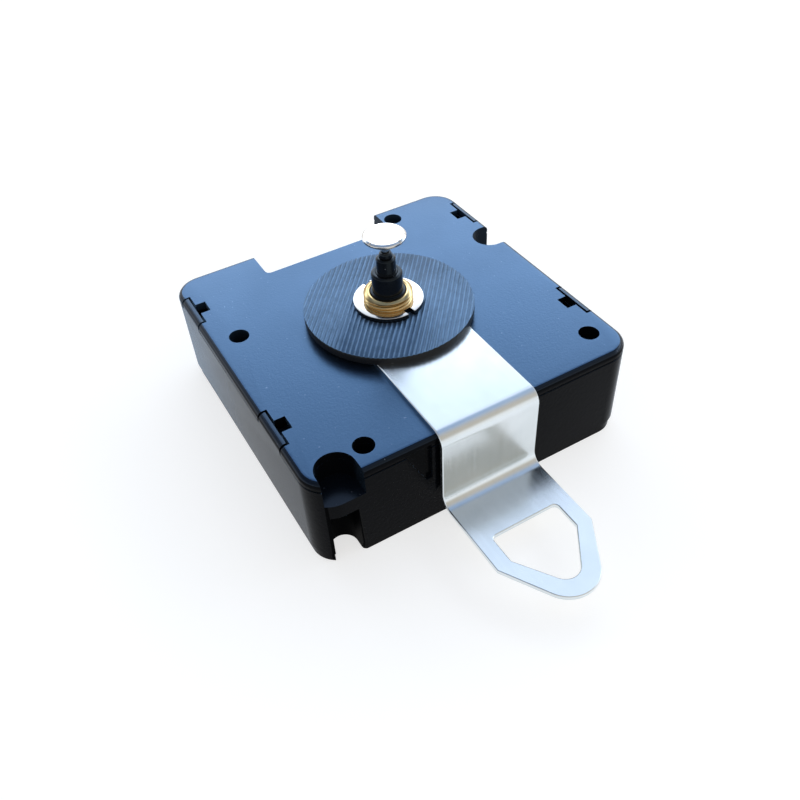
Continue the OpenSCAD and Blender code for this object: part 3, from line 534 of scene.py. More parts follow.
@dataclass(frozen=True)
class GrainedBlack:
    """Black side wall with the leather-like grain of a spark-eroded mould, and a painted pale
    reflection.

    The grain's height is the distance to the nearest cell plus a finer noise. A painted
    reflection, a paler blue base colour with a blue sheen, grows towards -Y over a range in
    metres, and a broad noise makes its border waver.
    """

    name: str = "grained_black"
    colour: Colour = (0.0025, 0.003, 0.0042)
    roughness: float = 0.16
    spread: tuple[float, float] = (-0.04, 0.06)
    reflect: float = 0.1
    ior: float = 1.25
    cell: float = 2100.0
    fine_ratio: float = 2.6
    fine_share: float = 0.6
    grain_height: float = 0.000045
    grain_strength: float = 0.4
    # painted reflection: pale blue put into the base colour towards -Y, where the wall mirrors
    # bright surroundings
    painted_reflection: Colour = (0.018, 0.036, 0.064)
    painted_reflection_range: tuple[float, float] = (-0.026, 0.018)
    waver: float = 0.012
    waver_scale: float = 70.0
    # painted reflection: blue sheen whose weight grows with the painted pale blue
    painted_sheen: tuple[float, float] = (0.28, 0.85)
    painted_sheen_tint: Colour = (0.42, 0.70, 1.0)
    painted_sheen_roughness: float = 0.22

    def material(self) -> Material:
        """Builds the material.

        Returns:
            The material.
        """
        sheet = FinishSheet(self.name)
        cells = sheet.node("ShaderNodeTexVoronoi", feature="SMOOTH_F1")
        cells.inputs["Scale"].default_value = self.cell
        sheet.feed(cells.inputs["Vector"], sheet.place)
        fine = sheet.noise(self.cell * self.fine_ratio)
        finer = sheet.maths("MULTIPLY", fine, self.fine_share)
        height = sheet.maths("ADD", cells.outputs["Distance"], finer)
        waver = sheet.maths("MULTIPLY", sheet.noise(self.waver_scale, 3.0), self.waver)
        along = sheet.maths("ADD", sheet.split(sheet.place)[1], waver)
        # share of the painted reflection, growing towards -Y
        painted_reflection = sheet.span(along, *self.painted_reflection_range, 1.0, 0.0)
        return sheet.finish(
            Base_Color=sheet.blend(painted_reflection, self.colour, self.painted_reflection),
            Roughness=sheet.varied(fine, self.roughness, self.spread),
            Normal=sheet.bump(height, self.grain_height, self.grain_strength),
            Specular_IOR_Level=self.reflect, IOR=self.ior,
            Sheen_Weight=sheet.span(painted_reflection, 0.0, 1.0, *self.painted_sheen),
            Sheen_Roughness=self.painted_sheen_roughness, Sheen_Tint=self.painted_sheen_tint)


@dataclass(frozen=True)
class RibbedRubber:
    """Dark rubber with a painted highlight on its ribs and mottled ground between them.

    The crest colour is a painted highlight. Its share is a cosine of the distance across the ribs,
    narrowed by a range and broken up in patches.
    """

    name: str = "ribbed_rubber"
    ground: Colour = (0.010, 0.017, 0.029)
    mottle: Colour = (0.024, 0.040, 0.070)
    # painted highlight on the rib crests, lighter and bluer than the rubber
    crest: Colour = (0.110, 0.180, 0.290)
    crest_range: tuple[float, float] = (0.25, 0.9)
    patch_scale: float = 520.0
    highlight_patch_range: tuple[float, float, float, float] = (0.3, 0.55, 0.35, 1.0)
    soil_range: tuple[float, float] = (0.38, 0.66)
    # blue tint of the gloss: painted sky reflection
    tint: Colour = (0.34, 0.60, 0.95)
    roughness: float = 0.48
    spread: tuple[float, float] = (-0.08, 0.1)
    reflect: float = 1.0
    ior: float = 1.9
    grain: float = 4200.0
    grain_height: float = 0.000012
    pitch: float = 0.75
    direction: float = 50.5

    def material(self) -> Material:
        """Builds the material.

        Returns:
            The material.
        """
        sheet = FinishSheet(self.name)
        patches, fine = sheet.noise(self.patch_scale, 4.0, 0.65), sheet.noise(self.grain)
        across = sheet.split(sheet.moved(turn=-self.direction))[1]
        wave = sheet.maths("COSINE", sheet.maths("MULTIPLY", across, TURN / (self.pitch * MM)))
        # painted highlight on the crests, broken up in patches by a noise
        crest = sheet.span(wave, *self.crest_range)
        patchy_highlight = sheet.maths("MULTIPLY", crest, sheet.span(patches, *self.highlight_patch_range))
        soil = sheet.span(patches, *self.soil_range)
        ground = sheet.blend(soil, self.ground, self.mottle)
        return sheet.finish(
            Base_Color=sheet.blend(patchy_highlight, ground, self.crest),
            Roughness=sheet.varied(fine, self.roughness, self.spread, WIDE_NOISE),
            Normal=sheet.bump(fine, self.grain_height),
            Specular_IOR_Level=self.reflect, IOR=self.ior, Specular_Tint=self.tint)


class Lay(Enum):
    """Direction in which a metal surface was worked."""

    TURNED = "turned"
    ALONG = "along"
    STAMPED = "stamped"


@dataclass(frozen=True)
class WorkedMetal:
    """Bare or plated metal with the fine marks of its making.

    Marks of turning follow the radius and the height, marks along a strip are a noise stretched
    by its own scale on each axis, and marks of stamping have no direction.
    """

    name: str
    colour: Colour
    shade: Colour
    roughness: float
    lay: Lay = Lay.STAMPED
    mark_height: float = 0.000002
    spread: tuple[float, float] = (-0.05, 0.05)
    turned: float = 9000.0
    along: Triple = (900.0, 40.0, 900.0)
    stamped: float = 2600.0
    mottle: float = 130.0

    def material(self) -> Material:
        """Builds the material.

        Returns:
            The material.
        """
        sheet = FinishSheet(self.name)
        if self.lay is Lay.TURNED:
            x, y, z = sheet.split(sheet.place)
            far = sheet.maths("ADD", sheet.maths("POWER", x, 2.0), sheet.maths("POWER", y, 2.0))
            ring = sheet.node("ShaderNodeCombineXYZ")
            sheet.feed(ring.inputs[0], sheet.maths("SQRT", far))
            sheet.feed(ring.inputs[1], z)
            marks = sheet.noise(self.turned, vector=ring.outputs[0])
        elif self.lay is Lay.ALONG:
            marks = sheet.noise(1.0, 4.0, vector=sheet.moved(self.along))
        else:
            marks = sheet.noise(self.stamped, 3.0)
        return sheet.finish(
            Base_Color=sheet.mottle(self.mottle, self.colour, self.shade),
            Roughness=sheet.varied(marks, self.roughness, self.spread),
            Normal=sheet.bump(marks, self.mark_height), Metallic=1.0)


@dataclass(frozen=True)
class MouldedPlain:
    """Plain moulded plastic or ceramic with a faint mottle."""

    name: str
    colour: Colour
    shade: Colour
    roughness: float = 0.4
    spread: tuple[float, float] = (-0.05, 0.05)
    mottle: float = 260.0
    grain: float = 3000.0
    grain_height: float = 0.000008
    grain_strength: float = 0.4

    def material(self) -> Material:
        """Builds the material.

        Returns:
            The material.
        """
        sheet = FinishSheet(self.name)
        fine = sheet.noise(self.grain)
        return sheet.finish(
            Base_Color=sheet.mottle(self.mottle, self.colour, self.shade),
            Roughness=sheet.varied(fine, self.roughness, self.spread),
            Normal=sheet.bump(fine, self.grain_height, self.grain_strength))


@dataclass(frozen=True)
class WoundCopper:
    """Enamelled copper wire wound in tight turns along one axis.

    A sine wave along the axis gives the turns, with painted shade in the grooves between them.
    """

    name: str
    axis: int
    pitch: float = 0.11
    colour: Colour = (0.62, 0.26, 0.10)
    # painted shade in the grooves between the turns
    shade: Colour = (0.30, 0.10, 0.04)
    roughness: tuple[float, float] = (0.28, 0.4)
    dull_scale: float = 900.0
    metallic: float = 0.6
    coat: float = 0.4
    wire_height: float = 0.00004
    wire_strength: float = 0.8

    def material(self) -> Material:
        """Builds the material.

        Returns:
            The material.
        """
        sheet = FinishSheet(self.name)
        along = sheet.split(sheet.place)[self.axis]
        wave = sheet.maths("SINE", sheet.maths("MULTIPLY", along, TURN / (self.pitch * MM)))
        wire = sheet.span(wave, -1.0, 1.0)
        dull = sheet.noise(self.dull_scale, 2.0, 0.5)
        return sheet.finish(
            Base_Color=sheet.blend(wire, self.shade, self.colour), Metallic=self.metallic,
            Roughness=sheet.span(dull, *MOST_NOISE, *self.roughness), Coat_Weight=self.coat,
            Normal=sheet.bump(wire, self.wire_height, self.wire_strength))


@dataclass(frozen=True)
class BoardLaminate:
    """Green solder mask over copper tracks that run between pads.

    Bands across X, bent by a coarse noise, give the tracks.
    """

    name: str = "board_laminate"
    mask: Colour = (0.02, 0.16, 0.06)
    track: Colour = (0.04, 0.30, 0.11)
    roughness: tuple[float, float] = (0.30, 0.24)
    pitch: float = 1.27
    bend: float = 0.006
    bend_scale: float = 90.0
    track_range: tuple[float, float] = (0.1, 0.3)
    track_height: float = 0.00003

    def material(self) -> Material:
        """Builds the material.

        Returns:
            The material.
        """
        sheet = FinishSheet(self.name)
        bend = sheet.maths("MULTIPLY", sheet.noise(self.bend_scale, 0.0, 0.5), self.bend)
        across = sheet.maths("ADD", sheet.split(sheet.place)[0], bend)
        wave = sheet.maths("SINE", sheet.maths("MULTIPLY", across, TURN / (self.pitch * MM)))
        tracks = sheet.span(wave, *self.track_range)
        return sheet.finish(
            Base_Color=sheet.blend(tracks, self.mask, self.track),
            Roughness=sheet.span(tracks, 0.0, 1.0, *self.roughness),
            Normal=sheet.bump(tracks, self.track_height))


# Pieces

Finish = (MouldedBlack | GrainedBlack | RibbedRubber | WorkedMetal | MouldedPlain | WoundCopper
          | BoardLaminate)


def shared(finish: Finish) -> Material:
    """A field that holds the material of a finish, built when the fields are filled."""
    return field(default_factory=finish.material)


@dataclass
class Finishes:
    """One material of each finish, shared by the pieces."""

    # The blue tints of these black plastics' gloss, and the cover's raised reflection, are a
    # painted sky reflection.
    cover: Material = shared(MouldedBlack(
        colour=(0.006, 0.009, 0.016), roughness=0.295, reflect=1.0, ior=1.84,
        tint=(0.245, 0.52, 0.94), grain=3000.0, grain_height=0.00004))
    # darker, duller copy of the cover for rounded edges and ledges: painted shade
    rounding: Material = shared(MouldedBlack(
        name="rounding_shade_black", colour=(0.004, 0.006, 0.010), roughness=0.21, reflect=0.4,
        ior=1.42, tint=(0.5, 0.7, 1.0)))
    latch: Material = shared(MouldedBlack(
        name="latch_black", colour=(0.005, 0.007, 0.011), roughness=0.32, reflect=0.8, ior=1.6,
        tint=(0.35, 0.62, 1.0)))
    walls: Material = shared(GrainedBlack())
    shaft: Material = shared(MouldedBlack(
        name="shaft_black", colour=(0.004, 0.0043, 0.005), roughness=0.21, reflect=0.3,
        tint=(0.6, 0.8, 1.0)))
    rubber: Material = shared(RibbedRubber())
    # near-black copy of the plastic for the inside of the lower clip notch: painted shade
    cavity_shade: Material = shared(MouldedBlack(
        name="cavity_shade_black", colour=(0.0012, 0.0014, 0.0018), dust=(0.01, 0.011, 0.013),
        roughness=0.5, reflect=0.1, ior=1.12))
    # darker, duller copy of the rubber for the washer's sides: painted shade
    rubber_edge_shade: Material = shared(MouldedBlack(
        name="rubber_edge_shade", colour=(0.006, 0.0065, 0.008), roughness=0.5, grain=3800.0,
        grain_height=0.00002, reflect=0.3))
    brass: Material = shared(WorkedMetal(
        "turned_brass", (0.62, 0.45, 0.22), (0.46, 0.32, 0.14), 0.13, Lay.TURNED))
    nut: Material = shared(WorkedMetal(
        "nickel_plated_nut", (0.72, 0.69, 0.65), (0.66, 0.63, 0.59), 0.13, Lay.TURNED))
    # dark copy of the nut's metal for its sides: painted shade
    nut_side_shade: Material = shared(WorkedMetal(
        "nut_side_shade", (0.050, 0.050, 0.053), (0.030, 0.030, 0.033), 0.22, Lay.TURNED))
    cap: Material = shared(WorkedMetal(
        "plated_cap", (0.74, 0.72, 0.69), (0.68, 0.66, 0.63), 0.12, Lay.TURNED))
    hanger: Material = shared(WorkedMetal(
        "zinc_plated_strip", (0.76, 0.81, 0.835), (0.71, 0.765, 0.79), 0.24, Lay.ALONG,
        mark_height=0.0000006, spread=(-0.02, 0.02), along=(2400.0, 90.0, 90.0)))
    stamped: Material = shared(WorkedMetal(
        "stamped_steel", (0.66, 0.68, 0.70), (0.54, 0.56, 0.58), 0.35))
    magnet: Material = shared(WorkedMetal(
        "sintered_magnet", (0.30, 0.31, 0.33), (0.22, 0.23, 0.25), 0.42))
    acetal: Material = shared(MouldedPlain(
        "acetal_gear", (0.80, 0.79, 0.74), (0.72, 0.71, 0.66), 0.42))
    plate: Material = shared(MouldedPlain(
        "moulded_plate", (0.58, 0.58, 0.55), (0.50, 0.50, 0.47), 0.46))
    button: Material = shared(MouldedPlain(
        "button_plastic", (0.55, 0.57, 0.59), (0.48, 0.50, 0.52), 0.34))
    ceramic: Material = shared(MouldedPlain(
        "capacitor_ceramic", (0.50, 0.34, 0.17), (0.40, 0.27, 0.13), 0.35))
    ferrite: Material = shared(MouldedPlain(
        "sintered_ferrite", (0.055, 0.056, 0.060), (0.035, 0.036, 0.040), 0.5))
    potting: Material = shared(MouldedPlain(
        "epoxy_potting", (0.012, 0.012, 0.014), (0.022, 0.022, 0.026), 0.22))
    board: Material = shared(BoardLaminate())
    coil: Material = shared(WoundCopper("motor_coil_wire", 1))
    aerial: Material = shared(WoundCopper("aerial_wire", 0, pitch=0.22))


def dress(piece: Piece, body: str, nodes: tuple[str, ...],
          materials: list[Material]) -> None:
    """Gives a piece its materials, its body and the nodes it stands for.

    Args:
        piece: The piece.
        body: Body it moves with.
        nodes: Nodes of the frame that it stands for.
        materials: Materials, the first of which covers faces with index 0.
    """
    for material in materials:
        piece.data.materials.append(material)
    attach(piece, body)
    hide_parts(*nodes)
    LOG.info("built %s on body %s with %d faces", piece.name, body, len(piece.data.polygons))


class CaseSlot(IntEnum):
    """Which of the case's materials a face takes, as its index on the piece."""

    TOP = 0
    WALL = 1
    EDGE = 2
    CAVITY = 3


@dataclass
class CaseShell:
    """Front cover and rear housing of the case, with softened edges and grained side walls.

    The numbers level, sloping and upright are parts along Z of a direction. The notch holds a
    range along X and a range along Y, and its mouth a range along X and a least Y.
    """

    ledge: float = 15.5
    level: float = 0.97
    sloping: float = 0.5
    upright: float = 0.98
    edge: float = 0.13
    rear_share: float = 0.8
    crisp: float = 30.0
    mouth: Triple = (20.8, 22.0, 27.0)
    mouth_top: float = 11.0
    mouth_round: float = 0.75
    mouth_steps: int = 4
    notch: tuple[float, float, float, float] = (21.0, 26.0, 22.0, 27.6)

    def round_mouth(self, piece: Piece) -> None:
        """Rounds the upright edge on the level side of the lower clip notch's mouth.

        An edge counts when its height is nearly its whole length and its middle lies in the
        mouth.

        Args:
            piece: The housing.
        """
        mesh = piece.data
        points, ends = np.empty(len(mesh.vertices) * 3), np.empty(len(mesh.edges) * 2, np.int32)
        mesh.vertices.foreach_get("co", points)
        mesh.edges.foreach_get("vertices", ends)
        first, last = points.reshape(-1, 3)[ends.reshape(-1, 2)].transpose(1, 0, 2) / MM
        run, middle = last - first, (first + last) / 2.0
        upright = np.abs(run[:, 2]) > self.upright * np.linalg.norm(run, axis=1)
        left, right, front = self.mouth
        inside = (middle[:, 0] > left) & (middle[:, 0] < right) & (middle[:, 1] > front)
        chosen = upright & inside & (middle[:, 2] < self.mouth_top)
        weight = mesh.attributes.new("bevel_weight_edge", "FLOAT", "EDGE")
        weight.data.foreach_set("value", chosen.astype(np.float32))
        bevel = piece.modifiers.new("mouth_rounding", "BEVEL")
        bevel.width = self.mouth_round * MM
        bevel.segments = self.mouth_steps
        bevel.limit_method = "WEIGHT"
        bevel.use_clamp_overlap = False

    def paint_sides(self, piece: Piece) -> None:
        """Gives each face its finish.

        TOP is the level top, and WALL is any face that doesn't look up. EDGE is a sloping face
        of the rounded edge or a ledge below the top; its darker, duller finish is painted shade.
        CAVITY is the inside of the lower clip notch, which looks onto the floor; its near-black
        finish is painted shade.

        Args:
            piece: Part of the case, with its materials in the order of CaseSlot.
        """
        upward = face_values(piece, FaceValue.NORMAL)[:, 2]
        x, y, z = face_values(piece, FaceValue.CENTRE).T / MM
        top = (upward > self.level) & (z > self.ledge)
        slot = np.where(upward < self.sloping, CaseSlot.WALL,
                        np.where(top, CaseSlot.TOP, CaseSlot.EDGE))
        left, right, back, front = self.notch
        inner = (x > left) & (x < right) & (y > back) & (y < front) & (z < self.mouth_top)
        # the notch's inside walls take the near-black painted shade
        paint_faces(piece, np.where(inner & (slot == CaseSlot.WALL), CaseSlot.CAVITY, slot))

    def build(self, finishes: Finishes) -> None:
        """Builds both halves.

        Args:
            finishes: The shared materials.
        """
        for node, name, width, top in (
                ("front_cover", "cover_moulding", self.edge, finishes.cover),
                ("rear_housing", "housing_moulding", self.edge * self.rear_share, finishes.latch)):
            piece = merged_copy(node, name)
            smooth_by_angle(piece, self.crisp)
            if node == "rear_housing":
                self.round_mouth(piece)
            soften_edges(piece, width)
            dress(piece, "case", (node,),
                  [top, finishes.walls, finishes.rounding, finishes.cavity_shade])
            self.paint_sides(piece)


@dataclass
class Hanger:
    """Steel strip bent over the case, with its edges broken as by tumbling."""

    edge: float = 0.14
    crisp: float = 30.0
    broken: float = 40.0

    def build(self, finishes: Finishes) -> None:
        """Builds the strip.

        Args:
            finishes: The shared materials.
        """
        piece = merged_copy("hanger_bracket", "hanger_strip")
        smooth_by_angle(piece, self.crisp)
        soften_edges(piece, self.edge, self.broken)
        dress(piece, "case", ("hanger_bracket",), [finishes.hanger])


@dataclass
class Washer:
    """Rubber washer whose top has fine straight ribs that run out at its rim."""

    outer: float = 13.9
    bore: float = 3.9
    low: float = 18.3
    high: float = 19.7
    shoulder: float = 0.6
    soft: float = 0.05
    pitch: float = 0.75
    rib_height: float = 0.11
    rib_half: float = 0.15
    direction: float = 50.5
    per_rib: int = 10
    end_arc: float = 0.45
    end_points: int = 36
    hub_points: int = 49
    crisp: float = 48.0

    def height(self, across: np.ndarray) -> np.ndarray:
        """Height of the top, with one rounded rib in each pitch.

        The height is the top less the rib height, plus a bell curve of the distance to the
        nearest rib.

        Args:
            across: Distances across the ribs.

        Returns:
            Heights of the top.
        """
        away = (across / self.pitch + 0.5) % 1.0 - 0.5
        rib = np.exp(-((away * self.pitch / self.rib_half) ** 2))
        return self.high - self.rib_height * (1.0 - rib)

    def build(self, finishes: Finishes) -> None:
        """Builds the washer as two halves that mirror each other across the line between them.

        In each half a point has a distance u across the ribs, and runs along them from the bore,
        or the middle line, to the rim: v = inner(u) + t (rim(u) - inner(u)). The distances crowd
        where the rim and the bore turn along the ribs.

        Args:
            finishes: The shared materials.
        """
        count = int(2 * self.outer / self.pitch * self.per_rib)
        even = np.linspace(-self.outer, self.outer, count)
        ends = self.outer * np.cos(np.linspace(0.0, self.end_arc, self.end_points))
        hub = self.bore * np.cos(np.linspace(0.0, math.pi, self.hub_points))
        u = np.unique(np.concatenate([even[np.abs(even) < ends[-1]], ends, -ends, hub]).round(5))
        inner = np.sqrt(np.maximum(self.bore**2 - u**2, 0.0))
        rim = np.sqrt(np.maximum(self.outer**2 - u**2, 0.0))
        top, low = self.height(u), np.full_like(u, self.low)
        v = np.stack([inner, rim, rim, rim, rim - np.minimum(self.soft, rim - inner), inner])
        z = np.stack([low, low, low + self.shoulder, top - self.soft, top, top])
        points, faces = [], []
        along = math.radians(self.direction)
        column = np.flatnonzero((u[:-1] >= -self.bore - NEAR) & (u[1:] <= self.bore + NEAR))
        last = (len(v) - 1) * len(u)
        bore_faces = np.stack([column, column + 1, last + column + 1, last + column], axis=-1)
        for half, side in enumerate((1.0, -1.0)):
            x = v * side * math.cos(along) - u * math.sin(along)
            y = v * side * math.sin(along) + u * math.cos(along)
            points.append(np.stack([x, y, z], axis=-1).reshape(-1, 3))
            for part in (grid_faces(len(v), len(u), False), bore_faces):
                faces.append(part + half * v.size)
        piece = mesh_piece("ribbed_washer", np.concatenate(points), np.concatenate(faces), WELD)
        smooth_by_angle(piece, self.crisp)
        dress(piece, "case", ("rubber_washer",), [finishes.rubber, finishes.rubber_edge_shade])
        # the sides take the darker rubber copy, painted shade
        paint_faces(piece, face_values(piece, FaceValue.NORMAL)[:, 2] < UPRIGHT)


@dataclass
class Nut:
    """Round nut with two open slots for its key."""

    inner: float = 3.84
    outer: float = 5.7
    slot_floor: float = 4.5
    slot_half: float = 0.65
    slot_room: float = 14.0
    low: float = 19.7
    high: float = 20.6
    turn: float = 101.0
    columns: int = 44
    crisp: float = 35.0

    def build(self, finishes: Finishes) -> None:
        """Builds the nut: a rounded section carried round the axis, cut back at the slots.

        The two columns at a slot side stand where the slot's straight wall crosses each radius r,
        at asin(half width / r) from the middle of the slot. Columns inside a slot stop at its
        floor. The plain columns keep an angle, slot_room, from the middle of each slot.

        Args:
            finishes: The shared materials.
        """
        section = rounded_profile([
            (self.inner, self.low, 0.02), (self.outer, self.low, 0.10),
            (self.outer, self.high, 0.10), (self.inner, self.high, 0.02)])
        radius, height = section[:, :1], section[:, 1:]
        wall = np.arcsin(self.slot_half / np.maximum(radius, self.slot_half))
        inside = np.arcsin(self.slot_half / np.clip(radius, self.slot_half, self.slot_floor))
        room = math.radians(self.slot_room)
        plain = np.ones_like(radius) * np.linspace(room, math.pi - room, self.columns)
        around = np.concatenate([-wall, -inside, inside, wall, plain], axis=1)
        first = math.radians(self.turn)
        angle = np.concatenate([first + around, first + math.pi + around], axis=1)
        cut = np.tile([False, True, True, False] + [False] * self.columns, 2)
        r = np.where(cut, np.minimum(radius, self.slot_floor), radius)
        piece = closed_piece("slotted_nut", polar_points(r, angle, height), self.crisp)
        dress(piece, "case", ("round_nut",), [finishes.nut, finishes.nut_side_shade])
        # the sides take the dark painted-shade copy
        paint_faces(piece, np.abs(face_values(piece, FaceValue.NORMAL)[:, 2]) < UPRIGHT)


@dataclass
class Bush:
    """Brass bush with a fine thread that shows above the nut, and a six-sided flange below."""

    bore: float = 2.92
    neck: float = 3.8
    crest: float = 4.0
    root: float = 3.62
    pitch: float = 0.62
    sharpness: float = 0.7
    flange: float = 6.4
    flange_low: float = 15.2
    flange_high: float = 16.1
    thread_low: float = 20.62
    thread_end: float = 0.36
    thread_step: float = 0.035
    top: float = 22.2
    columns: int = 120
    crisp: float = 50.0

    def build(self, finishes: Finishes) -> None:
        """Builds the bush as one closed section carried round the axis.

        The thread's radius at angle a and height z is root + (crest - root) w. Here w is a
        cosine wave of z / pitch - a / full turn, from 0 to 1, to the power of its sharpness.
        The flange's radius is that of a hexagon.

        Args:
            finishes: The shared materials.
        """
        angle = np.arange(self.columns) / self.columns * TURN
        rows = np.arange(self.thread_low, self.top - self.thread_end, self.thread_step)
        wave = 0.5 + 0.5 * np.cos(TURN * (rows[:, None] / self.pitch - angle / TURN))
        thread = self.root + (self.crest - self.root) * wave**self.sharpness
        sixth = TURN / 6
        hexagon = self.flange * math.cos(sixth / 2) / np.cos(angle % sixth - sixth / 2)
        neck = [(self.neck, self.flange_high), (self.neck, self.thread_low - 0.02)]
        crown = [(self.root, self.top - 0.34), (self.crest - 0.04, self.top - 0.28),
                 (self.crest - 0.14, self.top - 0.20), (self.crest - 0.50, self.top - 0.02),
                 (self.crest - 0.56, self.top), (self.bore + 0.12, self.top),
                 (self.bore, self.top - 0.12), (self.bore, self.flange_low)]
        one = np.ones_like(angle)
        neck_r, neck_z = np.array(neck).T[:, :, None] * one
        crown_r, crown_z = np.array(crown).T[:, :, None] * one
        r = np.concatenate([np.stack([hexagon, hexagon]), neck_r, thread, crown_r])
        flange_z = np.array([[self.flange_low], [self.flange_high]]) * one
        z = np.concatenate([flange_z, neck_z, rows[:, None] * one, crown_z])
        piece = closed_piece("threaded_sleeve", polar_points(r, angle, z), self.crisp)
        dress(piece, "case", ("threaded_bush",), [finishes.brass])


TIP = math.inf  # radius of a corner that lies at the tips of the teeth


@dataclass
class HandShaft:
    """A wheel and its tube, turned and hobbed as one piece.

    The section is a closed outline of (radius, height, rounding). Rows at the tip radius take
    the toothed outline instead, so that the teeth and the tube are one grid. The addendum and
    the dedendum are in modules.
    """

    name: str
    node: str
    body: str
    section: list[Triple]
    teeth: int = 0
    module: float = 0.0
    addendum: float = 0.75
    dedendum: float = 1.05
    columns: int = 96
    per_tooth: int = 10
    flank: tuple[float, float] = (0.085, 0.235)
    crisp: float = 34.0

    def tip_radius(self) -> float:
        """Radius at the tips of the teeth."""
        return self.teeth * self.module / 2 + self.addendum * self.module

    def tooth_radius(self, angle: np.ndarray) -> np.ndarray:
        """Radius of the toothed outline: flat at tip and root, and straight between.

        The flank starts and ends at fixed shares of the pitch from the middle of the tooth.

        Args:
            angle: Angles in radians.

        Returns:
            Radii.
        """
        pitch = TURN / self.teeth
        away = np.abs((angle + pitch / 2) % pitch - pitch / 2)
        root = self.teeth * self.module / 2 - self.dedendum * self.module
        ends = [share * pitch for share in self.flank]
        return np.interp(away, ends, [self.tip_radius(), root])

    def build(self, material: Material, slot: str) -> None:
        """Builds the piece as one section carried round the axis.

        Args:
            material: Its finish.
            slot: Material slot of the record; not used.
        """
        corners, tip = np.array(self.section), self.tip_radius()
        if self.teeth:
            corners[:, 0] = np.minimum(corners[:, 0], tip)
        outline = rounded_profile(corners)
        r, z = outline[:, :1], outline[:, 1:]
        columns = self.teeth * self.per_tooth or self.columns
        angle = (np.arange(columns) + 0.5) / columns * TURN
        if self.teeth:
            r = np.where(r > tip - NEAR, self.tooth_radius(angle), r)
        piece = closed_piece(self.name, polar_points(r, angle, z), self.crisp)
        dress(piece, self.body, (self.node,), [material])


def hour_shaft() -> HandShaft:
    """Hour wheel of 40 teeth with the outer hand shaft."""
    return HandShaft("hour_tube", "hour_wheel", "hour", [
        (1.8, 12.5, 0.0), (TIP, 12.5, 0.0), (TIP, 13.0, 0.0), (3.45, 13.0, 0.05),
        (3.45, 15.1, 0.1), (2.85, 15.1, 0.05), (2.85, 22.2, 0.10), (2.5, 22.2, 0.05),
        (2.5, 25.45, 0.06), (2.25, 25.7, 0.06), (1.8, 25.7, 0.05)], teeth=40, module=0.32)


def minute_shaft() -> HandShaft:
    """Minute wheel of 64 teeth with the middle hand shaft."""
    return HandShaft("minute_tube", "minute_wheel", "minute", [
        (1.05, 8.5, 0.0), (2.2, 8.5, 0.05), (2.2, 8.7, 0.0), (TIP, 8.7, 0.0), (TIP, 9.2, 0.0),
        (2.2, 9.2, 0.02), (2.2, 9.9, 0.05), (1.75, 9.9, 0.02), (1.75, 25.8, 0.05),
        (1.55, 25.8, 0.02), (1.55, 28.15, 0.05), (1.3, 28.4, 0.05), (1.05, 28.4, 0.04)],
        teeth=64, module=0.19)


def seconds_shaft() -> HandShaft:
    """Arbor of the seconds hand, drilled at its end for the stem of the cap."""
    return HandShaft("seconds_tube", "seconds_arbor", "seconds", [
        (0.0, 1.4, 0.0), (0.6, 1.4, 0.05), (0.6, 8.4, 0.05), (1.0, 8.4, 0.05), (1.0, 29.05, 0.05),
        (0.88, 29.3, 0.04), (0.65, 29.3, 0.03), (0.65, 26.3, 0.02), (0.0, 26.3, 0.0)])


@dataclass
class Cap:
    """Plated cap on the seconds shaft, with short notches across its rim."""

    stem: float = 0.6
    radius: float = 3.4
    low: float = 31.7
    high: float = 32.5
    stem_low: float = 26.8
    notch_depth: float = 0.13
    notch_inset: float = 0.035
    notch_half: float = 0.11
    notches: tuple[float, ...] = (18.0, 108.0, 150.0, 262.0)
    rim_width: float = 0.45
    rim_low: float = 0.2
    columns: int = 288
    crisp: float = 30.0

    def build(self, finishes: Finishes) -> None:
        """Builds the cap: a section carried round the axis, whose rim rows dip at each notch.

        The dip is the notch depth times a bell curve of the distance along the rim to the
        nearest notch. The radius shrinks by a share of the same curve.

        Args:
            finishes: The shared materials.
        """
        section = rounded_profile([
            (0.0, self.stem_low, 0.0), (self.stem, self.stem_low, 0.12),
            (self.stem, self.low, 0.08), (self.radius - 0.30, self.low, 0.05),
            (self.radius, self.low + 0.25, 0.05), (self.radius, self.high - 0.20, 0.05),
            (self.radius - 0.35, self.high, 0.05), (self.radius - 0.50, self.high, 0.0),
            (0.0, self.high, 0.0)])
        radius, height = section[:, :1], section[:, 1:]
        angle = np.arange(self.columns) / self.columns * TURN
        middle = np.radians(self.notches)[:, None]
        away = np.abs((angle - middle + math.pi) % TURN - math.pi).min(axis=0)
        bell = np.exp(-((away * self.radius / self.notch_half) ** 4))
        rim = (radius > self.radius - self.rim_width) & (height > self.low + self.rim_low)
        points = polar_points(radius, angle, height)
        points[..., 2] -= self.notch_depth * rim * bell
        points[..., :2] *= (1.0 - self.notch_inset * rim * bell)[..., None]
        piece = closed_piece("seconds_cap", points, self.crisp)
        dress(piece, "cap", ("arbor_cap",), [finishes.cap])


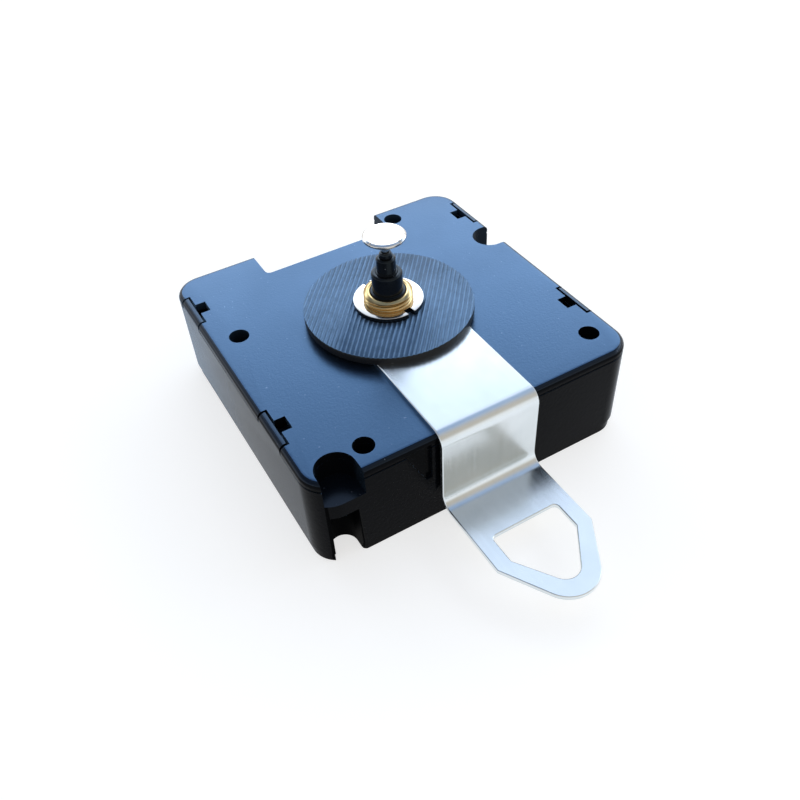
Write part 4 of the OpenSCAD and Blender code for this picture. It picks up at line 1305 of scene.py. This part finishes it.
@dataclass
class InnerWorks:
    """The parts behind the cover and in the battery bay, dressed in their own materials."""

    def table(self, finishes: Finishes) -> list[tuple[Material, tuple[str, ...]]]:
        """Which nodes of the frame take each material.

        Args:
            finishes: The shared materials.

        Returns:
            Pairs of a material and the names of its nodes.
        """
        return [
            (finishes.plate, ("middle_plate", "seconds_bridge", "antenna_saddles")),
            (finishes.stamped, ("plate_screws", "board_screws", "tact_domes", "motion_stud",
                                "seconds_stator", "minute_stator", "seconds_core", "minute_core",
                                "positive_contact", "negative_contact")),
            (finishes.acetal, ("seconds_bobbin", "minute_bobbin", "seconds_idler", "minute_idler",
                               "seconds_wheel", "cannon_pinion", "motion_wheel")),
            (finishes.magnet, ("seconds_rotor", "minute_rotor")),
            (finishes.coil, ("seconds_winding", "minute_winding")),
            (finishes.button, ("reset_button", "receive_button")),
            (finishes.board, ("circuit_board",)),
            (finishes.potting, ("timing_chip",)),
            (finishes.nut, ("quartz_crystal",)),
            (finishes.ceramic, ("capacitors",)),
            (finishes.ferrite, ("ferrite_rod",)),
            (finishes.aerial, ("antenna_winding",)),
        ]

    def build(self, finishes: Finishes) -> None:
        """Puts the materials on the nodes.

        Args:
            finishes: The shared materials.
        """
        for material, nodes in self.table(finishes):
            for node in nodes:
                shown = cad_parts[node]
                shown.data.materials.clear()
                shown.data.materials.append(material)
                LOG.info("dressed %s in %s", node, material.name)


# Studio


@dataclass
class Studio:
    """Camera, sky, lamp and floor.

    The sky is a list of heights in the direction, from 0 at the horizon to 1 overhead, with
    their colours. The shade and the room each have a part of the direction (0 for X, 1 for Y),
    the range over which they set in, and a colour. The lamp's sizes and place are in metres and
    its turns in degrees.
    """

    azimuth: float = 152.199
    elevation: float = 44.182
    roll: float = -3.702
    distance: float = 120.35
    focal_px: float = 823.62
    picture_px: float = 800.0
    sensor: float = 36.0
    target: Triple = (9.013, 18.814, 17.5)
    floor_half: float = 6000.0
    floor_z: float = -0.02
    floor_colour: Colour = (0.46, 0.45, 0.43)
    floor_lift: float = 0.68
    sky: tuple[tuple[float, Colour], ...] = (
        (0.00, (1.00, 1.00, 1.00)),
        (0.30, (1.05, 1.05, 1.05)),
        (0.38, (1.70, 1.85, 2.00)),
        (0.50, (3.90, 4.50, 5.20)),
        (0.57, (2.10, 2.50, 3.00)),
        (0.65, (0.72, 0.86, 1.05)),
        (0.74, (0.22, 0.33, 0.56)),
        (0.84, (0.48, 0.60, 0.80)),
        (1.00, (0.24, 0.36, 0.58)),
    )
    above: tuple[float, float] = (0.20, 0.45)
    shade: tuple[int, float, float, Colour] = (0, 0.15, 0.60, (0.20, 0.24, 0.31))
    room: tuple[int, float, float, Colour] = (1, 0.05, 0.65, (0.60, 0.54, 0.46))
    lamp_size: tuple[float, float] = (1.1, 0.95)
    lamp_place: Triple = (-0.50, -0.74, 0.945)
    lamp_turn: Triple = (43.4, 0.0, -34.0)
    lamp_colour: Colour = (0.95, 0.98, 1.0)
    lamp_radiance: float = 0.60

    def camera(self) -> None:
        """Places the camera where the photograph was taken from."""
        az, el, roll = (math.radians(v) for v in (self.azimuth, self.elevation, self.roll))
        back = np.array([math.sin(az) * math.cos(el), -math.cos(az) * math.cos(el), math.sin(el)])
        right = np.array([math.cos(az), math.sin(az), 0.0])
        up = np.cross(back, right)
        side = math.cos(roll) * right + math.sin(roll) * up
        top = -math.sin(roll) * right + math.cos(roll) * up
        place = (np.array(self.target) + self.distance * back) * MM
        lens = bpy.data.cameras.new("photo_camera")
        lens.sensor_width = self.sensor
        lens.lens = self.focal_px * self.sensor / self.picture_px
        lens.clip_start, lens.clip_end = 0.005, 50.0
        camera = bpy.data.objects.new("photo_camera", lens)
        matrix = np.eye(4)
        matrix[:3] = np.stack([side, top, back, place], axis=1)
        camera.matrix_world = Matrix(matrix.tolist())
        bpy.context.scene.collection.objects.link(camera)
        bpy.context.scene.camera = camera

    def world(self) -> None:
        """Makes the sky, a shaded wall towards +X and a warm grey room towards +Y.

        The sky is white at the horizon, brightest half way up and blue overhead. The shares of
        the wall and the room go by that part of the direction, and fade out towards the horizon.
        """
        world = bpy.data.worlds.new("soft_sky")
        world.use_nodes = True
        sheet = NodeSheet(world.node_tree)
        direction = sheet.split(sheet.node("ShaderNodeTexCoord").outputs["Generated"])
        ramp = sheet.node("ShaderNodeValToRGB")
        sheet.feed(ramp.inputs["Fac"], direction[2])
        stops = ramp.color_ramp.elements
        peak = max(max(colour) for _, colour in self.sky)
        for index, (height, colour) in enumerate(self.sky):
            stop = stops[index] if index < 2 else stops.new(height)
            stop.position = height
            stop.color = (*[c / peak for c in colour], 1.0)
        shown = ramp.outputs["Color"]
        above = sheet.span(direction[2], *self.above)
        for part, low, high, colour in (self.shade, self.room):
            share = sheet.maths("MULTIPLY", above, sheet.span(direction[part], low, high))
            shown = sheet.blend(share, shown, tuple(c / peak for c in colour))
        back = sheet.tree.nodes["Background"]
        sheet.feed(back.inputs["Color"], shown)
        back.inputs["Strength"].default_value = peak
        bpy.context.scene.world = world

    def floor(self) -> None:
        """Lays a pale floor that shows white to the camera and in gloss, and keeps the shadow."""
        corner = self.floor_half * np.array([[-1, -1, 0], [1, -1, 0], [1, 1, 0], [-1, 1, 0]])
        piece = mesh_piece("pale_floor", corner + [0, 0, self.floor_z], np.array([[0, 1, 2, 3]]))
        material = bpy.data.materials.new("pale_floor")
        material.use_nodes = True
        sheet = NodeSheet(material.node_tree)
        sheet.tree.nodes.clear()
        matt, glow = sheet.node("ShaderNodeBsdfDiffuse"), sheet.node("ShaderNodeEmission")
        paths = sheet.node("ShaderNodeLightPath").outputs
        seen = sheet.maths("MAXIMUM", paths["Is Camera Ray"], paths["Is Glossy Ray"])
        clear = sheet.maths("MAXIMUM", seen, paths["Is Transmission Ray"])
        sheet.feed(matt.inputs["Color"], self.floor_colour)
        sheet.feed(glow.inputs["Strength"], sheet.maths("MULTIPLY", clear, self.floor_lift))
        both, out = sheet.node("ShaderNodeAddShader"), sheet.node("ShaderNodeOutputMaterial")
        sheet.feed(both.inputs[0], matt.outputs[0])
        sheet.feed(both.inputs[1], glow.outputs[0])
        sheet.feed(out.inputs["Surface"], both.outputs[0])
        piece.data.materials.append(material)

    def lamp(self) -> None:
        """Hangs one wide soft lamp where the upper faces mirror it towards the camera.

        Its power is the radiance times pi times its area.
        """
        wide, tall = self.lamp_size
        light = bpy.data.lights.new("window_light", "AREA")
        light.shape = "RECTANGLE"
        light.size, light.size_y = wide, tall
        light.energy = self.lamp_radiance * math.pi * wide * tall
        light.color = self.lamp_colour
        lamp = bpy.data.objects.new("window_light", light)
        lamp.location = self.lamp_place
        lamp.rotation_euler = np.radians(self.lamp_turn).tolist()
        bpy.context.scene.collection.objects.link(lamp)

    def build(self) -> None:
        """Sets up the whole studio and the plain view transform."""
        self.camera()
        self.world()
        self.floor()
        self.lamp()
        bpy.context.scene.view_settings.view_transform = "Standard"


def main() -> None:
    logging.basicConfig(level=logging.INFO, format="%(name)s: %(message)s")
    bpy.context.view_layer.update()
    Studio().build()
    finishes = Finishes()
    CaseShell().build(finishes)
    Hanger().build(finishes)
    Washer().build(finishes)
    Nut().build(finishes)
    Bush().build(finishes)
    for shaft in (hour_shaft(), minute_shaft(), seconds_shaft()):
        shaft.build(finishes.shaft, "shaft_black")
    Cap().build(finishes)
    InnerWorks().build(finishes)


if __name__ == "__main__":
    main()
